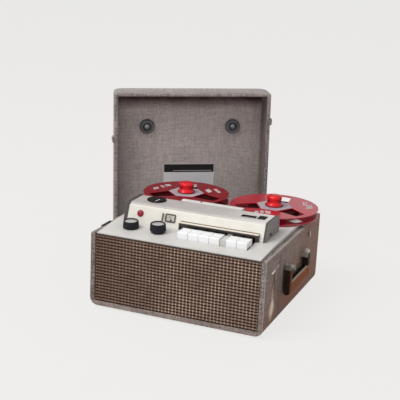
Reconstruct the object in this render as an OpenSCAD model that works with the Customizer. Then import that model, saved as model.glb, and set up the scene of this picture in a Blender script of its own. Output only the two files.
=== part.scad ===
// Portable reel-to-reel tape recorder with its lift-off lid standing behind it.
// X runs along the width, Y from the front to the rear, Z up from the floor.

/* [Case] */
// Width of the case
case_w = 248; // [240:1:280]
// Depth of the case
case_d = 248; // [242:1:280]
// Height of the case walls
wall_h = 103; // [100:1:125]
// Thickness of the case walls
wall_t = 7; // [6:0.5:9]
// Radius of the lower side edges
corner_r = 11; // [8:1:16]
// Height of the base runners
foot_h = 3; // [2:0.5:8]

/* [Deck] */
// Height of the flat deck above the wall tops
deck_rise = 4; // [3:0.5:8]
// Sheet thickness of the deck
deck_t = 1.6; // [1.2:0.1:2]
// Gap between the deck and the case walls
deck_gap = 1.4; // [1:0.1:2]
// Height of the front lip of the deck
lip_h = 3.3; // [2:0.1:5]

/* [Reels] */
// Diameter of a reel
reel_d = 127; // [120:1:130]
// Overall thickness of a reel
reel_t = 11; // [10.5:0.5:13]
// Distance between the two spindles
spindle_pitch = 137; // [134:1:150]
// Distance of the spindles behind the head cover
spindle_reach = 76; // [75:1:90]
// Radius of the tape wound on the left reel
supply_tape_r = 54; // [30:1:56]
// Radius of the tape wound on the right reel
takeup_tape_r = 37; // [26:1:56]

/* [Head cover] */
// Left end of the head cover from the middle of the case
cover_left = 105; // [95:1:110]
// Right end of the head cover from the middle of the case
cover_right = 101; // [95:1:110]
// Distance of the cover front from the middle of the case
cover_reach = 64; // [58:1:68]
// Depth of the cover at the deck
cover_d = 59; // [56:1:64]
// Height of the cover
cover_h = 24; // [23:0.5:30]
// Lean of the cover front, in degrees
cover_lean = 20; // [10:1:24]

/* [Controls] */
// Pitch of the keys
key_pitch = 14.9; // [13:0.1:15]
// Height of the key caps above the apron
key_h = 9.4; // [8:0.2:10]
// Width of the spacer between the key groups
spacer_w = 8.5; // [6:0.5:10]
// Travel of a key, in degrees
key_swing = 7; // [4:1:8]
// Diameter of a knob at its foot
knob_d = 22; // [18:0.5:24]
// Diameter of the selector disc
selector_d = 27; // [20:1:30]

/* [Handle] */
// Distance between the handle pivots
handle_span = 83; // [70:1:100]
// Distance from a pivot to the underside of the grip
handle_drop = 35; // [30:1:44]

/* [Lid] */
// Depth of the lid
lid_h = 45; // [42:1:60]
// Wall thickness of the lid
lid_t = 6; // [5:0.5:8]
// Turn of the standing lid, in degrees
lid_yaw = 29.8; // [0:0.2:40]
// Tilt of the standing lid, its right end raised, in degrees
lid_tilt = 1.1; // [0:0.1:3]
// Distance of the lid's middle from the case middle, to the left
lid_x = 105.6; // [60:0.2:160]
// Distance of the lid's middle from the case middle, to the rear
lid_y = 188.2; // [170:0.2:260]

/* [Quality] */
// Facets of a full circle
$fn = 64; // [32:8:96]

/* [Hidden] */
eps = 0.1;
// Clearances: a shaft in its bush, a gap between moving pieces, a loose hole
run_clear = 0.05;
move_gap = 0.4;
hole_gap = 0.7;

// Case
half_w = case_w / 2;
half_d = case_d / 2;
floor_z = foot_h + wall_t;
wall_top = foot_h + wall_h;
in_x = half_w - wall_t;
in_y = half_d - wall_t;
batten_w = 10;
batten_h = 12;
foot_w = 16;
foot_inset = 24;
cloth_t = 1.5;
cloth_set = 0.5;
board_t = 6;
panel_gap = 0.4;

// Deck: the apron rises from the front edge to the foot of the head cover
deck_z = wall_top + deck_rise;
deck_x = in_x - deck_gap;
deck_front = -half_d + 2;
deck_rear = in_y - deck_gap;
deck_edge_z = wall_top + 0.3;
skirt_h = 6;
lip_z = deck_edge_z - lip_h;
deck_under = deck_z - deck_t;
cover_front = -cover_reach;
apron_run = cover_front - deck_front;
apron_slope = (deck_z - deck_edge_z) / apron_run;
apron_angle = atan(apron_slope);
screw_r = 3;
screw_h = 1.2;
function apron_z(y) = deck_edge_z + (y - deck_front) * apron_slope;

// Mechanism: spindles, capstan and motor stand on the chassis under the deck
spindle_x = spindle_pitch / 2;
spindle_y = cover_rear() + spindle_reach;
shaft_r = 2.5;
bush_r = 6;
bush_h = 12;
chassis_drop = 26;
chassis_z = deck_z - chassis_drop;
chassis_t = 2;
chassis_inset = 17;
chassis_x = in_x - chassis_inset;
chassis_front = cover_front + 4;
chassis_rear = in_y - 7;
post_r = 4;
bush_z = chassis_z - 6;
bush_top = bush_z + bush_h;
belt_w = 3;
belt_t = 1;
belt_gap = 0.35;
drive_belt_z = deck_z - 13;
takeup_belt_z = deck_z - 6;
pulley_w = 5;
table_pulley_r = 20;
flywheel_r = 42;
flywheel_w = 10;
capstan_pulley_r = 12;
motor_pulley_r = 7;
motor_r = 29;
motor_h = 54;
motor_x = -20;
motor_y = spindle_y - 1;
shaft_tail = 12;
table_r = 22;
table_t = 1;
table_z = deck_z + move_gap;

// Reels
reel_r = reel_d / 2;
flange_t = 1.2;
reel_z = table_z + table_t;
reel_top = reel_z + reel_t;
spindle_r = 3.9;
hub_r = 22;
hub_bore_r = spindle_r + 0.2;
window_in = 23;
window_out = reel_r - 7.5;
window_wide = 28;
window_narrow = 15;
supply_turn = -15;
takeup_turn = -30;
cap_h = 16.4;
cap_r = 13;
cap_neck_r = 9.6;
cap_top_r = 10.9;

// Tape path: a straight run behind the head cover, between two guides
tape_w = 6.3;
tape_t = 0.3;
tape_z = reel_z + (reel_t - tape_w) / 2;
guide_r = 2.5;
guide_y = cover_rear() - 1;
guide_left = -52;
guide_right = 56;
tape_y = guide_y + guide_r + tape_t / 2;
capstan_r = shaft_r;
capstan_x = 34;
capstan_y = tape_y + tape_t / 2 + move_gap + capstan_r;
capstan_top = deck_z + 16;
roller_r = 7;
pinch_swing = 10;
pinch_x = capstan_x - 24;
pinch_y = tape_y - tape_t / 2 - 14.6;
pinch_pin_r = 2;
roller_dy = tape_y - tape_t / 2 - move_gap - roller_r - pinch_y;
roller_dx = capstan_x - pinch_x;
roller_x = pinch_x + roller_dx * cos(pinch_swing) + roller_dy * sin(pinch_swing);
roller_y = pinch_y - roller_dx * sin(pinch_swing) + roller_dy * cos(pinch_swing);

// Head cover
cover_t = 2;
cheek_t = 3;
cheek_proud = 1;
cheek_screw_y = 22;
cheek_screw_z = 6;
cheek_screw_r = 2;
cover_top = deck_z + cover_h;
bevel_z = cover_top - 3.5;
bevel_d = 5;
slope_d = 9;
slope_h = 4.5;
slot_h = 7.6;
slot_left = -21;
slot_right = 91;
slot_lip = 1.8;
shield_left = -46;
shield_right = 45;
shield_d = 9;
shield_t = 2;
shield_y = tape_y + 2.3;
shield_top = cover_top - 2.4;
function cover_rear() = cover_front + cover_d;
function front_y(z) = cover_front + (z - deck_z) * tan(cover_lean);

// Controls
key_count = 6;
key_group = 4;
key_gap = 0.5;
key_w = key_pitch - key_gap;
key_x0 = -10;
key_reach = 34;
key_front = cover_front - key_reach;
key_d = 21;
key_skirt = 8.5;
lever_w = 10;
lever_t = 4.8;
axle_r = 2;
axle_y = cover_front + 30;
axle_z = deck_z + 3;
key_top = apron_z(key_front) + key_h;
key_end = key_x0 + key_count * key_pitch + spacer_w;
frame_t = 2;
knob_h = 10;
knob_taper = 0.9;
knob_foot_h = 3.5;
knob_foot_d = 19;
volume_x = -82;
tone_x = -42;
knob_reach = 24;
knob_y = cover_front - knob_reach;
pot_r = 12;
pot_h = 12;
pot_neck_r = 4.5;
knob_shaft_r = 3;
lamp_x = -81.5;
lamp_z = deck_z + 11.6;
lamp_r = 4.7;
meter_x = -39;
meter_z = deck_z + 11.4;
meter_w = 19;
meter_h = 9.6;
meter_d = 10;
meter_wall = 1.5;
needle_swing = 60;
needle_y = -meter_h / 2 + 2;
needle_pin_r = 0.6;
selector_x = -71.5;
selector_y = cover_front + 35;
counter_x = 67.5;
counter_y = cover_front + 28;
counter_w = 19;
counter_l = 8;
drum_r = 6;
drum_w = 5;
reset_x = 85.5;
reset_y = cover_front + 31;
reset_w = 9.5;
reset_l = 14;
reset_travel = 2;

// Inside the case
speaker_r = 40;
speaker_z = foot_h + wall_h / 2;
speaker_d = 42;
inlet_x = 70;
inlet_z = floor_z + 30;
inlet_w = 24;
inlet_h = 16;
jack_r = 7.5;
jack_x = -70;
jack_step = 22;

// Handle: it hangs from two posts on the right wall
handle_y = -4;
handle_z = wall_top - 33.5;
pivot_x = half_w + 6.5;
arm_w = 8;
arm_t = 9;
ear_t = 6;
ear_r = 3.6;
pin_r = 1.6;
grip_h = 16.5;
grip_t = 8.4;

// Lid and its fittings
bumper_x = spindle_x + 1;
bumper_z = half_d + spindle_y - 8;
bumper_r = 12;
bumper_h = 8;
card_w = 83;
card_h = 62;
card_top = 124.4;
catch_left_z = 173.2;
catch_right_z = 200.8;
catch_w = 9;
stay_x = 98;
stay_w = 14;
stay_d = 20;
stay_h = (half_w + stay_x) * tan(lid_tilt);
keeper_y = 67;
keeper_z = wall_top - 20;
keeper_h = 9;
pad_l = 26;
pad_w = 2.8;
pad_t = 1.2;
pad_inset = 42;
pad_y = -half_d + pad_inset;

// A bar along X whose YZ outline is given
module bar_x(x0, x1, outline) {
    translate([x0, 0, 0])
        rotate([90, 0, 90])
            linear_extrude(x1 - x0)
                polygon(outline);
}

// A box between two corners
module box(low, high) {
    translate(low)
        cube(high - low);
}

// Places its children on the leaning cover front: Z out of the face, Y up the slope
module on_front(x, z) {
    translate([x, front_y(z), z])
        rotate([90 - cover_lean, 0, 0])
            children();
}

// Places its children on the sloped apron, with Z square to it
module on_apron(x, y) {
    translate([x, y, apron_z(y)])
        rotate([apron_angle, 0, 0])
            children();
}

// Places its children on the standing lid: rim at Y = 0, lower edge at Z = 0, left corner on the floor
module on_lid() {
    translate([-lid_x, lid_y, half_w * sin(lid_tilt)])
        rotate([0, -lid_tilt, lid_yaw])
            children();
}

// A rectangle with both corners of its lower side rounded
module round_bottom(w, h, r) {
    translate([-w / 2, r])
        square([w, h - r]);
    translate([-w / 2 + r, 0])
        square([w - 2 * r, r + eps]);
    for (side = [-1, 1])
        translate([side * (w / 2 - r), r])
            circle(r);
}

// Wrapped U-shaped shell with battens that carry the deck
module case_shell() {
    color([0.44, 0.40, 0.37]) {
        translate([0, half_d, foot_h])
            rotate([90, 0, 0])
                linear_extrude(case_d)
                    difference() {
                        round_bottom(case_w, wall_h, corner_r);
                        translate([-in_x, wall_t])
                            square([2 * in_x, wall_h]);
                    }
        for (side = [0, 1])
            mirror([side, 0, 0])
                box([in_x - batten_w, -in_y + board_t, deck_z - skirt_h - batten_h],
                    [in_x, in_y, deck_z - skirt_h]);
    }
}

// Rear board with vents and the cut-outs for the sockets
module rear_panel() {
    vent_w = 60;
    vent_h = 4;
    color([0.40, 0.36, 0.33])
        difference() {
            box([-in_x, in_y, floor_z], [in_x, half_d, wall_top]);
            for (row = [0 : 4])
                translate([-vent_w / 2, in_y - eps, wall_top - 25 - row * 2 * vent_h])
                    cube([vent_w, wall_t + 2 * eps, vent_h]);
            box([inlet_x - inlet_w / 2, in_y - eps, inlet_z - inlet_h / 2],
                [inlet_x + inlet_w / 2, half_d + eps, inlet_z + inlet_h / 2]);
            for (n = [0 : 2])
                translate([jack_x + n * jack_step, in_y - eps, inlet_z])
                    rotate([-90, 0, 0])
                        cylinder(r = jack_r, h = wall_t + 2 * eps);
        }
}

// Board behind the grille, with the opening for the loudspeaker
module grille_baffle() {
    front = -half_d + cloth_set + cloth_t;
    color([0.30, 0.24, 0.18])
        difference() {
            box([-in_x, front, floor_z], [in_x, front + board_t, lip_z - panel_gap]);
            translate([0, front - eps, speaker_z])
                rotate([-90, 0, 0])
                    cylinder(r = speaker_r - 4, h = board_t + 2 * eps);
        }
}

// Woven grille stretched over the baffle
module grille_cloth() {
    front = -half_d + cloth_set;
    color([0.36, 0.26, 0.18])
        box([-in_x, front, floor_z], [in_x, front + cloth_t, lip_z - panel_gap]);
}

// Loudspeaker: rim, cone basket and magnet, open toward the grille
module speaker() {
    rim_t = 3;
    magnet_h = 16;
    basket_h = speaker_d - rim_t - magnet_h;
    neck_r = 16;
    skin = 2;
    color([0.25, 0.25, 0.27])
        translate([0, -half_d + cloth_set + cloth_t + board_t, speaker_z])
            rotate([-90, 0, 0])
                difference() {
                    union() {
                        cylinder(r = speaker_r, h = rim_t);
                        translate([0, 0, rim_t])
                            cylinder(r1 = speaker_r - 2, r2 = neck_r + skin, h = basket_h);
                        translate([0, 0, rim_t + basket_h])
                            cylinder(r = neck_r + 6, h = magnet_h);
                    }
                    translate([0, 0, -eps])
                        cylinder(r1 = speaker_r - 4, r2 = neck_r, h = basket_h);
                }
}

// Folded deck sheet: flat top, sloping apron, front lip and side skirts
module deck_plate() {
    outline = [[deck_front, lip_z], [deck_front, deck_edge_z], [cover_front, deck_z],
        [deck_rear, deck_z], [deck_rear, deck_z - skirt_h], [deck_front + deck_t, deck_z - skirt_h],
        [deck_front + deck_t, lip_z]];
    hollow = [[deck_front + deck_t, lip_z - eps],
        [deck_front + deck_t, apron_z(deck_front + deck_t) - deck_t],
        [cover_front, deck_under], [deck_rear - deck_t, deck_under],
        [deck_rear - deck_t, lip_z - eps]];
    color([0.80, 0.79, 0.77])
        difference() {
            bar_x(-deck_x, deck_x, outline);
            bar_x(-deck_x + deck_t, deck_x - deck_t, hollow);
            box([key_x0 - hole_gap, key_front - hole_gap, lip_z],
                [key_end + hole_gap, axle_y + 6, deck_z + eps]);
            for (side = [-1, 1])
                translate([side * spindle_x, spindle_y, deck_under - eps])
                    cylinder(r = shaft_r + hole_gap, h = deck_t + 2 * eps);
            translate([capstan_x, capstan_y, deck_under - eps])
                cylinder(r = capstan_r + hole_gap, h = deck_t + 2 * eps);
            translate([pinch_x, pinch_y, deck_under - eps])
                cylinder(r = pinch_pin_r + run_clear, h = deck_t + 2 * eps);
            for (x = [volume_x, tone_x])
                on_apron(x, knob_y)
                    translate([0, 0, -2 * deck_t])
                        cylinder(r = pot_neck_r, h = 3 * deck_t);
        }
}

// Slotted screws: two in the deck, one in each end cheek
module deck_screws() {
    slot_w = 0.8;
    color([0.75, 0.75, 0.74]) {
        for (side = [-1, 1])
            translate([side * 8, deck_rear - 8, deck_z])
                screw_head(screw_r, screw_h, slot_w);
        translate([cover_right, cover_front + cheek_screw_y, deck_z + cheek_screw_z])
            rotate([0, 90, 0])
                screw_head(cheek_screw_r, screw_h, slot_w);
        translate([-cover_left, cover_front + cheek_screw_y, deck_z + cheek_screw_z])
            rotate([0, -90, 0])
                screw_head(cheek_screw_r, screw_h, slot_w);
    }
}

// A flat slotted screw head
module screw_head(r, h, slot_w) {
    difference() {
        cylinder(r = r, h = h, $fn = 32);
        translate([-r - eps, -slot_w / 2, h / 2])
            cube([2 * r + 2 * eps, slot_w, h]);
    }
}

// Steel plate hung under the deck on four posts
module chassis() {
    color([0.62, 0.63, 0.62])
        difference() {
            union() {
                box([-chassis_x, chassis_front, chassis_z],
                    [chassis_x, chassis_rear, chassis_z + chassis_t]);
                for (x = [-1, 1], y = [chassis_front + 8, chassis_rear - 8])
                    translate([x * (chassis_x - 6), y, chassis_z + chassis_t])
                        cylinder(r = post_r, h = deck_under - chassis_z - chassis_t);
            }
            for (side = [-1, 1])
                translate([side * spindle_x, spindle_y, chassis_z - eps])
                    cylinder(r = bush_r, h = chassis_t + 2 * eps);
            translate([capstan_x, capstan_y, chassis_z - eps])
                cylinder(r = bush_r, h = chassis_t + 2 * eps);
            translate([motor_x, motor_y, chassis_z - eps])
                cylinder(r = bush_r, h = chassis_t + 2 * eps);
        }
}

// Motor can under the chassis, with a bore for its shaft
module motor() {
    flange_h = 3;
    color([0.35, 0.36, 0.37])
        translate([motor_x, motor_y, chassis_z - motor_h])
            difference() {
                union() {
                    cylinder(r = motor_r - 3, h = motor_h);
                    translate([0, 0, motor_h - flange_h])
                        cylinder(r = motor_r, h = flange_h);
                }
                translate([0, 0, motor_h - 14])
                    cylinder(r = axle_r + run_clear, h = 14 + eps);
            }
}

// Three bearing bushes pressed through the chassis
module shaft_bushes() {
    color([0.72, 0.58, 0.33]) {
        for (side = [-1, 1])
            translate([side * spindle_x, spindle_y, bush_z])
                bush();
        translate([capstan_x, capstan_y, bush_z])
            bush();
    }
}

// One bush: sleeve with a running bore
module bush() {
    difference() {
        cylinder(r = bush_r, h = bush_h);
        translate([0, 0, -eps])
            cylinder(r = shaft_r + run_clear, h = bush_h + 2 * eps);
    }
}

// YZ outline of the head cover, shrunk by an inset for its hollow
function cover_outline(inset) = [
    [front_y(deck_z - (inset > 0 ? eps : 0)) + inset / cos(cover_lean),
        deck_z - (inset > 0 ? eps : 0)],
    [front_y(bevel_z - inset / 2) + inset / cos(cover_lean), bevel_z - inset / 2],
    [front_y(bevel_z) + bevel_d + inset / 2, cover_top - inset],
    [cover_rear() - slope_d - inset / 2, cover_top - inset],
    [cover_rear() - inset, cover_top - slope_h - inset / 2],
    [cover_rear() - inset, deck_z - (inset > 0 ? eps : 0)]];

// Long cover over the heads and key levers
module head_cover() {
    x0 = -cover_left + cheek_t;
    x1 = cover_right - cheek_t;
    slot_top = deck_z + slot_h;
    color([0.90, 0.87, 0.80])
        difference() {
            union() {
                difference() {
                    bar_x(x0, x1, cover_outline(0));
                    bar_x(x0 - eps, x1 + eps, cover_outline(cover_t));
                }
                on_front((slot_left + slot_right) / 2, slot_top + slot_lip / 2)
                    translate([-(slot_right - slot_left) / 2 - slot_lip, -slot_lip / 2, -1])
                        cube([slot_right - slot_left + 2 * slot_lip, slot_lip, 1 + slot_lip]);
            }
            box([slot_left, cover_front - 10, deck_z - eps],
                [slot_right, cover_front + 12, slot_top]);
            on_front(lamp_x, lamp_z)
                translate([0, 0, -5])
                    cylinder(r = lamp_r - 0.7, h = 10);
            on_front(meter_x, meter_z)
                translate([-meter_w / 2, -meter_h / 2, -5])
                    cube([meter_w, meter_h, 10]);
            translate([selector_x, selector_y, cover_top - 5])
                cylinder(r = shaft_r + run_clear, h = 10);
            box([counter_x - counter_w / 2, counter_y - counter_l / 2, cover_top - 5],
                [counter_x + counter_w / 2, counter_y + counter_l / 2, cover_top + 5]);
            box([reset_x - reset_w / 2 - move_gap, reset_y - reset_l / 2 - move_gap, cover_top - 5],
                [reset_x + reset_w / 2 + move_gap, reset_y + reset_l / 2 + move_gap, cover_top + 5]);
            box([guide_left - 6, cover_rear() - cover_t - eps, deck_z - eps],
                [guide_right + 4, cover_rear() + eps, cover_top - slope_h - 2]);
        }
}

// Dark end plates that close the head cover and stand a little proud of it
module end_cheeks() {
    p = cheek_proud;
    outline = [[cover_front - p, deck_z], [front_y(cover_top) - p, cover_top + p],
        [cover_rear() - slope_d, cover_top + p], [cover_rear() + p, cover_top - slope_h],
        [cover_rear() + p, deck_z]];
    color([0.34, 0.33, 0.32]) {
        bar_x(cover_right - cheek_t, cover_right, outline);
        bar_x(-cover_left, -cover_left + cheek_t, outline);
    }
}

// Light strip behind the tape slot, open toward the heads
module head_shield() {
    y1 = shield_y + shield_d;
    color([0.88, 0.87, 0.84]) {
        box([shield_left, shield_y, shield_top - shield_t], [shield_right, y1, shield_top]);
        box([shield_left, y1 - shield_t, deck_z], [shield_right, y1, shield_top - shield_t]);
        for (x = [shield_left, shield_right - shield_t])
            box([x, shield_y, deck_z], [x + shield_t, y1 - shield_t, shield_top - shield_t]);
    }
}

// Erase head, record and play head and the two tape guides on one base
module head_block() {
    base_t = 2;
    head_y = tape_y - tape_t / 2;
    color([0.70, 0.70, 0.69]) {
        box([guide_left - 4, guide_y - 4, deck_z], [-14, guide_y + 2, deck_z + base_t]);
        box([-14 - eps, guide_y - 4, deck_z], [12, guide_y + 2, deck_z + base_t]);
        for (head = [[-30, 9], [-4, 12]])
            box([head[0], head_y - 10, deck_z + base_t - eps],
                [head[0] + head[1], head_y, tape_z + tape_w + 2]);
        for (x = [guide_left, guide_right])
            translate([x, guide_y, deck_z])
                cylinder(r = guide_r, h = tape_z + tape_w + 2 - deck_z);
    }
}

// Tape strung from the left reel along the guides to the right reel
module tape_web() {
    color([0.30, 0.18, 0.12]) {
        box([guide_left, tape_y - tape_t / 2, tape_z],
            [guide_right, tape_y + tape_t / 2, tape_z + tape_w]);
        tape_run(guide_left, -spindle_x, supply_tape_r);
        mirror([1, 0, 0])
            tape_run(-guide_right, -spindle_x, takeup_tape_r);
    }
}

// Straight run of tape from a guide to the outer left side of a wound pack
module tape_run(x, pack_x, pack_r) {
    rg = guide_r + tape_t / 2;
    rp = pack_r + belt_gap + tape_t / 2;
    dx = pack_x - x;
    dy = spindle_y - guide_y;
    span = norm([dx, dy]);
    dir = atan2(dy, dx) + asin((rp + rg) / span);
    run = sqrt(span * span - (rp + rg) * (rp + rg));
    translate([x + rg * sin(dir), guide_y - rg * cos(dir), tape_z])
        rotate([0, 0, dir])
            translate([0, -tape_t / 2, 0])
                cube([run, tape_t, tape_w]);
}

// Red pilot lamp lens set in the cover front
module lamp_lens() {
    color([0.75, 0.12, 0.22])
        on_front(lamp_x, lamp_z) {
            cylinder(r = lamp_r, h = 1.6);
            translate([0, 0, -6])
                cylinder(r = lamp_r - 0.7, h = 6);
        }
}

// Box of the level meter behind the cover front
module meter_case() {
    w = meter_w + 2 * meter_wall;
    h = meter_h + 2 * meter_wall;
    color([0.85, 0.83, 0.76])
        on_front(meter_x, meter_z)
            translate([0, 0, -cover_t - meter_d])
                difference() {
                    translate([-w / 2, -h / 2, 0])
                        cube([w, h, meter_d]);
                    translate([-meter_w / 2, -meter_h / 2, meter_wall])
                        cube([meter_w, meter_h, meter_d]);
                    translate([0, needle_y, -eps])
                        cylinder(r = needle_pin_r + run_clear, h = meter_wall + 2 * eps, $fn = 24);
                }
}

// Clear window in the meter opening
module meter_window() {
    color([0.85, 0.85, 0.82, 0.5])
        on_front(meter_x, meter_z)
            translate([-meter_w / 2, -meter_h / 2, -cover_t])
                cube([meter_w, meter_h, 1.2]);
}

// Needle that swings in the meter box, with its hub low in the middle
module meter_needle() {
    hub = 1.2;
    color([0.15, 0.12, 0.10])
        on_front(meter_x, meter_z)
            translate([0, needle_y, -cover_t - meter_d + meter_wall + move_gap])
                rotate([0, 0, needle_swing / 2]) {
                    cylinder(r = hub, h = 2, $fn = 24);
                    translate([0, 0, -meter_wall - move_gap])
                        cylinder(r = needle_pin_r, h = meter_wall + move_gap + eps, $fn = 24);
                    translate([-0.25, 0, 1])
                        cube([0.5, meter_h - 3.5, 0.6]);
                }
}

// Two potentiometers clamped under the apron
module potentiometers() {
    color([0.55, 0.56, 0.55])
        for (x = [volume_x, tone_x])
            on_apron(x, knob_y)
                difference() {
                    union() {
                        translate([0, 0, -deck_t - pot_h])
                            cylinder(r = pot_r, h = pot_h);
                        translate([0, 0, -deck_t - eps])
                            cylinder(r = pot_neck_r, h = deck_t + eps);
                    }
                    translate([0, 0, -deck_t - pot_h + 2])
                        cylinder(r = knob_shaft_r + run_clear, h = pot_h + deck_t);
                }
}

// Left knob with its shaft
module volume_knob() {
    on_apron(volume_x, knob_y)
        knob(move_gap);
}

// Right knob, standing on a narrower foot
module tone_knob() {
    on_apron(tone_x, knob_y) {
        knob(knob_foot_h);
        color([0.12, 0.12, 0.15])
            translate([0, 0, move_gap])
                cylinder(r = knob_foot_d / 2, h = knob_foot_h - move_gap + eps);
    }
}

// Tapered knob above the apron, on a shaft that ends in the potentiometer
module knob(lift) {
    color([0.12, 0.12, 0.15]) {
        translate([0, 0, lift])
            cylinder(r1 = knob_d / 2, r2 = knob_d / 2 * knob_taper, h = knob_h);
        translate([0, 0, -deck_t - pot_h + 3])
            cylinder(r = knob_shaft_r, h = pot_h + deck_t + lift - 2);
    }
}

// Ears on the deck, the key axle, and the fixed spacer between the key groups
module key_frame() {
    left = key_x0 - hole_gap - frame_t - 1;
    right = key_end + hole_gap + 1;
    spacer_x = key_x0 + key_group * key_pitch;
    ear_h = 7;
    color([0.55, 0.54, 0.52]) {
        for (x = [left, right])
            box([x, axle_y - 5, deck_z], [x + frame_t, axle_y + 5, deck_z + ear_h]);
        translate([left - 1, axle_y, axle_z])
            rotate([0, 90, 0])
                cylinder(r = axle_r, h = right - left + frame_t + 2);
        box([spacer_x + key_gap / 2, key_front + 1, key_top - key_h - key_skirt],
            [spacer_x + spacer_w - key_gap, key_front + key_d, key_top - 2]);
        box([spacer_x + 1, key_front + key_d - eps, axle_z - lever_t / 2],
            [spacer_x + spacer_w - 1, axle_y + axle_r + 1, axle_z + lever_t / 2]);
    }
}

// One piano key: white cap on a lever that turns on the axle
module piano_key(index) {
    x = key_x0 + index * key_pitch + (index >= key_group ? spacer_w : 0) + key_gap / 2;
    lever_x = x + (key_w - lever_w) / 2;
    color([0.94, 0.94, 0.94])
        difference() {
            union() {
                box([x, key_front, key_top - key_h - key_skirt], [x + key_w, key_front + key_d, key_top]);
                box([lever_x, key_front + key_d - eps, axle_z - lever_t / 2],
                    [lever_x + lever_w, axle_y, axle_z + lever_t / 2]);
                translate([lever_x, axle_y, axle_z])
                    rotate([0, 90, 0])
                        cylinder(r = axle_r + 2, h = lever_w);
            }
            translate([lever_x - eps, axle_y, axle_z])
                rotate([0, 90, 0])
                    cylinder(r = axle_r + run_clear, h = lever_w + 2 * eps);
        }
}

module rewind_key() {
    piano_key(0);
}

module stop_key() {
    piano_key(1);
}

module play_key() {
    piano_key(2);
}

module forward_key() {
    piano_key(3);
}

module pause_key() {
    piano_key(4);
}

module record_key() {
    piano_key(5);
}

// Bracket under the cover top that carries the counter drums
module counter_frame() {
    drop = 3 + drum_r;
    under = cover_top - cover_t;
    inner = (3 * drum_w) / 2 + move_gap;
    color([0.45, 0.45, 0.44])
        difference() {
            for (side = [-1, 1])
                translate([counter_x + side * (inner + frame_t / 2), counter_y, under])
                    box([-frame_t / 2, -5, -drop - 3], [frame_t / 2, 5, 0]);
            translate([counter_x - inner - frame_t - eps, counter_y, counter_z()])
                rotate([0, 90, 0])
                    cylinder(r = axle_r / 2 + run_clear, h = 2 * (inner + frame_t + eps));
        }
}

function counter_z() = cover_top - cover_t - 1.5 - drum_r;

// Three number drums on one pin
module counter_drums() {
    inner = (3 * drum_w) / 2;
    color([0.10, 0.10, 0.10])
        translate([counter_x, counter_y, counter_z()])
            rotate([0, 90, 0]) {
                for (n = [0 : 2])
                    translate([0, 0, -inner + n * drum_w])
                        cylinder(r = drum_r, h = drum_w - 0.3);
                translate([0, 0, -inner - move_gap - frame_t])
                    cylinder(r = axle_r / 2, h = 2 * (inner + move_gap + frame_t));
                translate([0, 0, -inner])
                    cylinder(r = drum_r - 1, h = 2 * inner);
            }
}

// Push button that sets the counter to zero, kept by a flange under the cover top
module counter_reset() {
    flange = 1.2;
    under = cover_top - cover_t - move_gap;
    color([0.10, 0.10, 0.10]) {
        box([reset_x - reset_w / 2, reset_y - reset_l / 2, under - 3],
            [reset_x + reset_w / 2, reset_y + reset_l / 2, cover_top + 0.6]);
        box([reset_x - reset_w / 2 - flange, reset_y - reset_l / 2 - flange, under - 3],
            [reset_x + reset_w / 2 + flange, reset_y + reset_l / 2 + flange, under]);
    }
}

// Black selector disc on the cover top, on a short shaft
module selector_disc() {
    color([0.08, 0.09, 0.09])
        translate([selector_x, selector_y, cover_top]) {
            translate([0, 0, move_gap])
                cylinder(r = selector_d / 2, h = 1.6);
            translate([0, 0, -cover_t - 4])
                cylinder(r = shaft_r, h = cover_t + 4 + move_gap + eps);
        }
}

// Circuit board on four posts on the case floor
module amplifier_board() {
    board_w = 84;
    board_l = 96;
    board_x = -in_x + 10;
    board_y = -58;
    stand_h = 6;
    color([0.45, 0.33, 0.18]) {
        box([board_x, board_y, floor_z + stand_h],
            [board_x + board_w, board_y + board_l, floor_z + stand_h + 2]);
        for (x = [6, board_w - 6], y = [6, board_l - 6])
            translate([board_x + x, board_y + y, floor_z])
                cylinder(r = 3, h = stand_h + eps);
    }
}

// Three valves standing in their sockets on the board
module valves() {
    socket_h = 6;
    base_z = floor_z + 8;
    color([0.80, 0.82, 0.84])
        for (n = [0 : 2])
            translate([-in_x + 26 + n * 26, -30 + n * 18, base_z]) {
                cylinder(r = 11, h = socket_h);
                translate([0, 0, socket_h])
                    cylinder(r = 9.5, h = 36);
                translate([0, 0, socket_h + 36])
                    cylinder(r1 = 9.5, r2 = 3, h = 6);
            }
}

// Mains and output transformers on the case floor
module transformers() {
    color([0.38, 0.37, 0.35])
        for (block = [[75, spindle_y, 60, 50, 50], [62, -34, 38, 32, 30]])
            translate([block[0], block[1], floor_z]) {
                translate([-block[2] / 2, -block[3] / 2, 0])
                    cube([block[2], block[3], block[4] * 0.7]);
                translate([-block[2] / 3, -block[3] / 3, 0])
                    cube([block[2] * 2 / 3, block[3] * 2 / 3, block[4]]);
            }
}

// Two-pin mains inlet and three round sockets in the rear panel
module rear_sockets() {
    flush = half_d - 1;
    color([0.14, 0.14, 0.14]) {
        difference() {
            box([inlet_x - inlet_w / 2, in_y - 8, inlet_z - inlet_h / 2],
                [inlet_x + inlet_w / 2, flush, inlet_z + inlet_h / 2]);
            box([inlet_x - inlet_w / 2 + 2, flush - 10, inlet_z - inlet_h / 2 + 2],
                [inlet_x + inlet_w / 2 - 2, flush + eps, inlet_z + inlet_h / 2 - 2]);
        }
        for (side = [-1, 1])
            translate([inlet_x + side * 5, flush - 10 - eps, inlet_z])
                rotate([-90, 0, 0])
                    cylinder(r = 1.6, h = 8, $fn = 24);
        for (n = [0 : 2])
            translate([jack_x + n * jack_step, in_y - 6, inlet_z])
                rotate([-90, 0, 0])
                    cylinder(r = jack_r, h = wall_t + 5);
    }
}

// Runners under the case, joined to one frame that it stands on
module base_runners() {
    color([0.13, 0.13, 0.13])
        difference() {
            box([-half_w + foot_inset, -half_d + foot_inset, 0],
                [half_w - foot_inset, half_d - foot_inset, foot_h]);
            box([-half_w + foot_inset + foot_w, -half_d + foot_inset + foot_w, -eps],
                [half_w - foot_inset - foot_w, half_d - foot_inset - foot_w, foot_h + eps]);
        }
}

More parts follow.
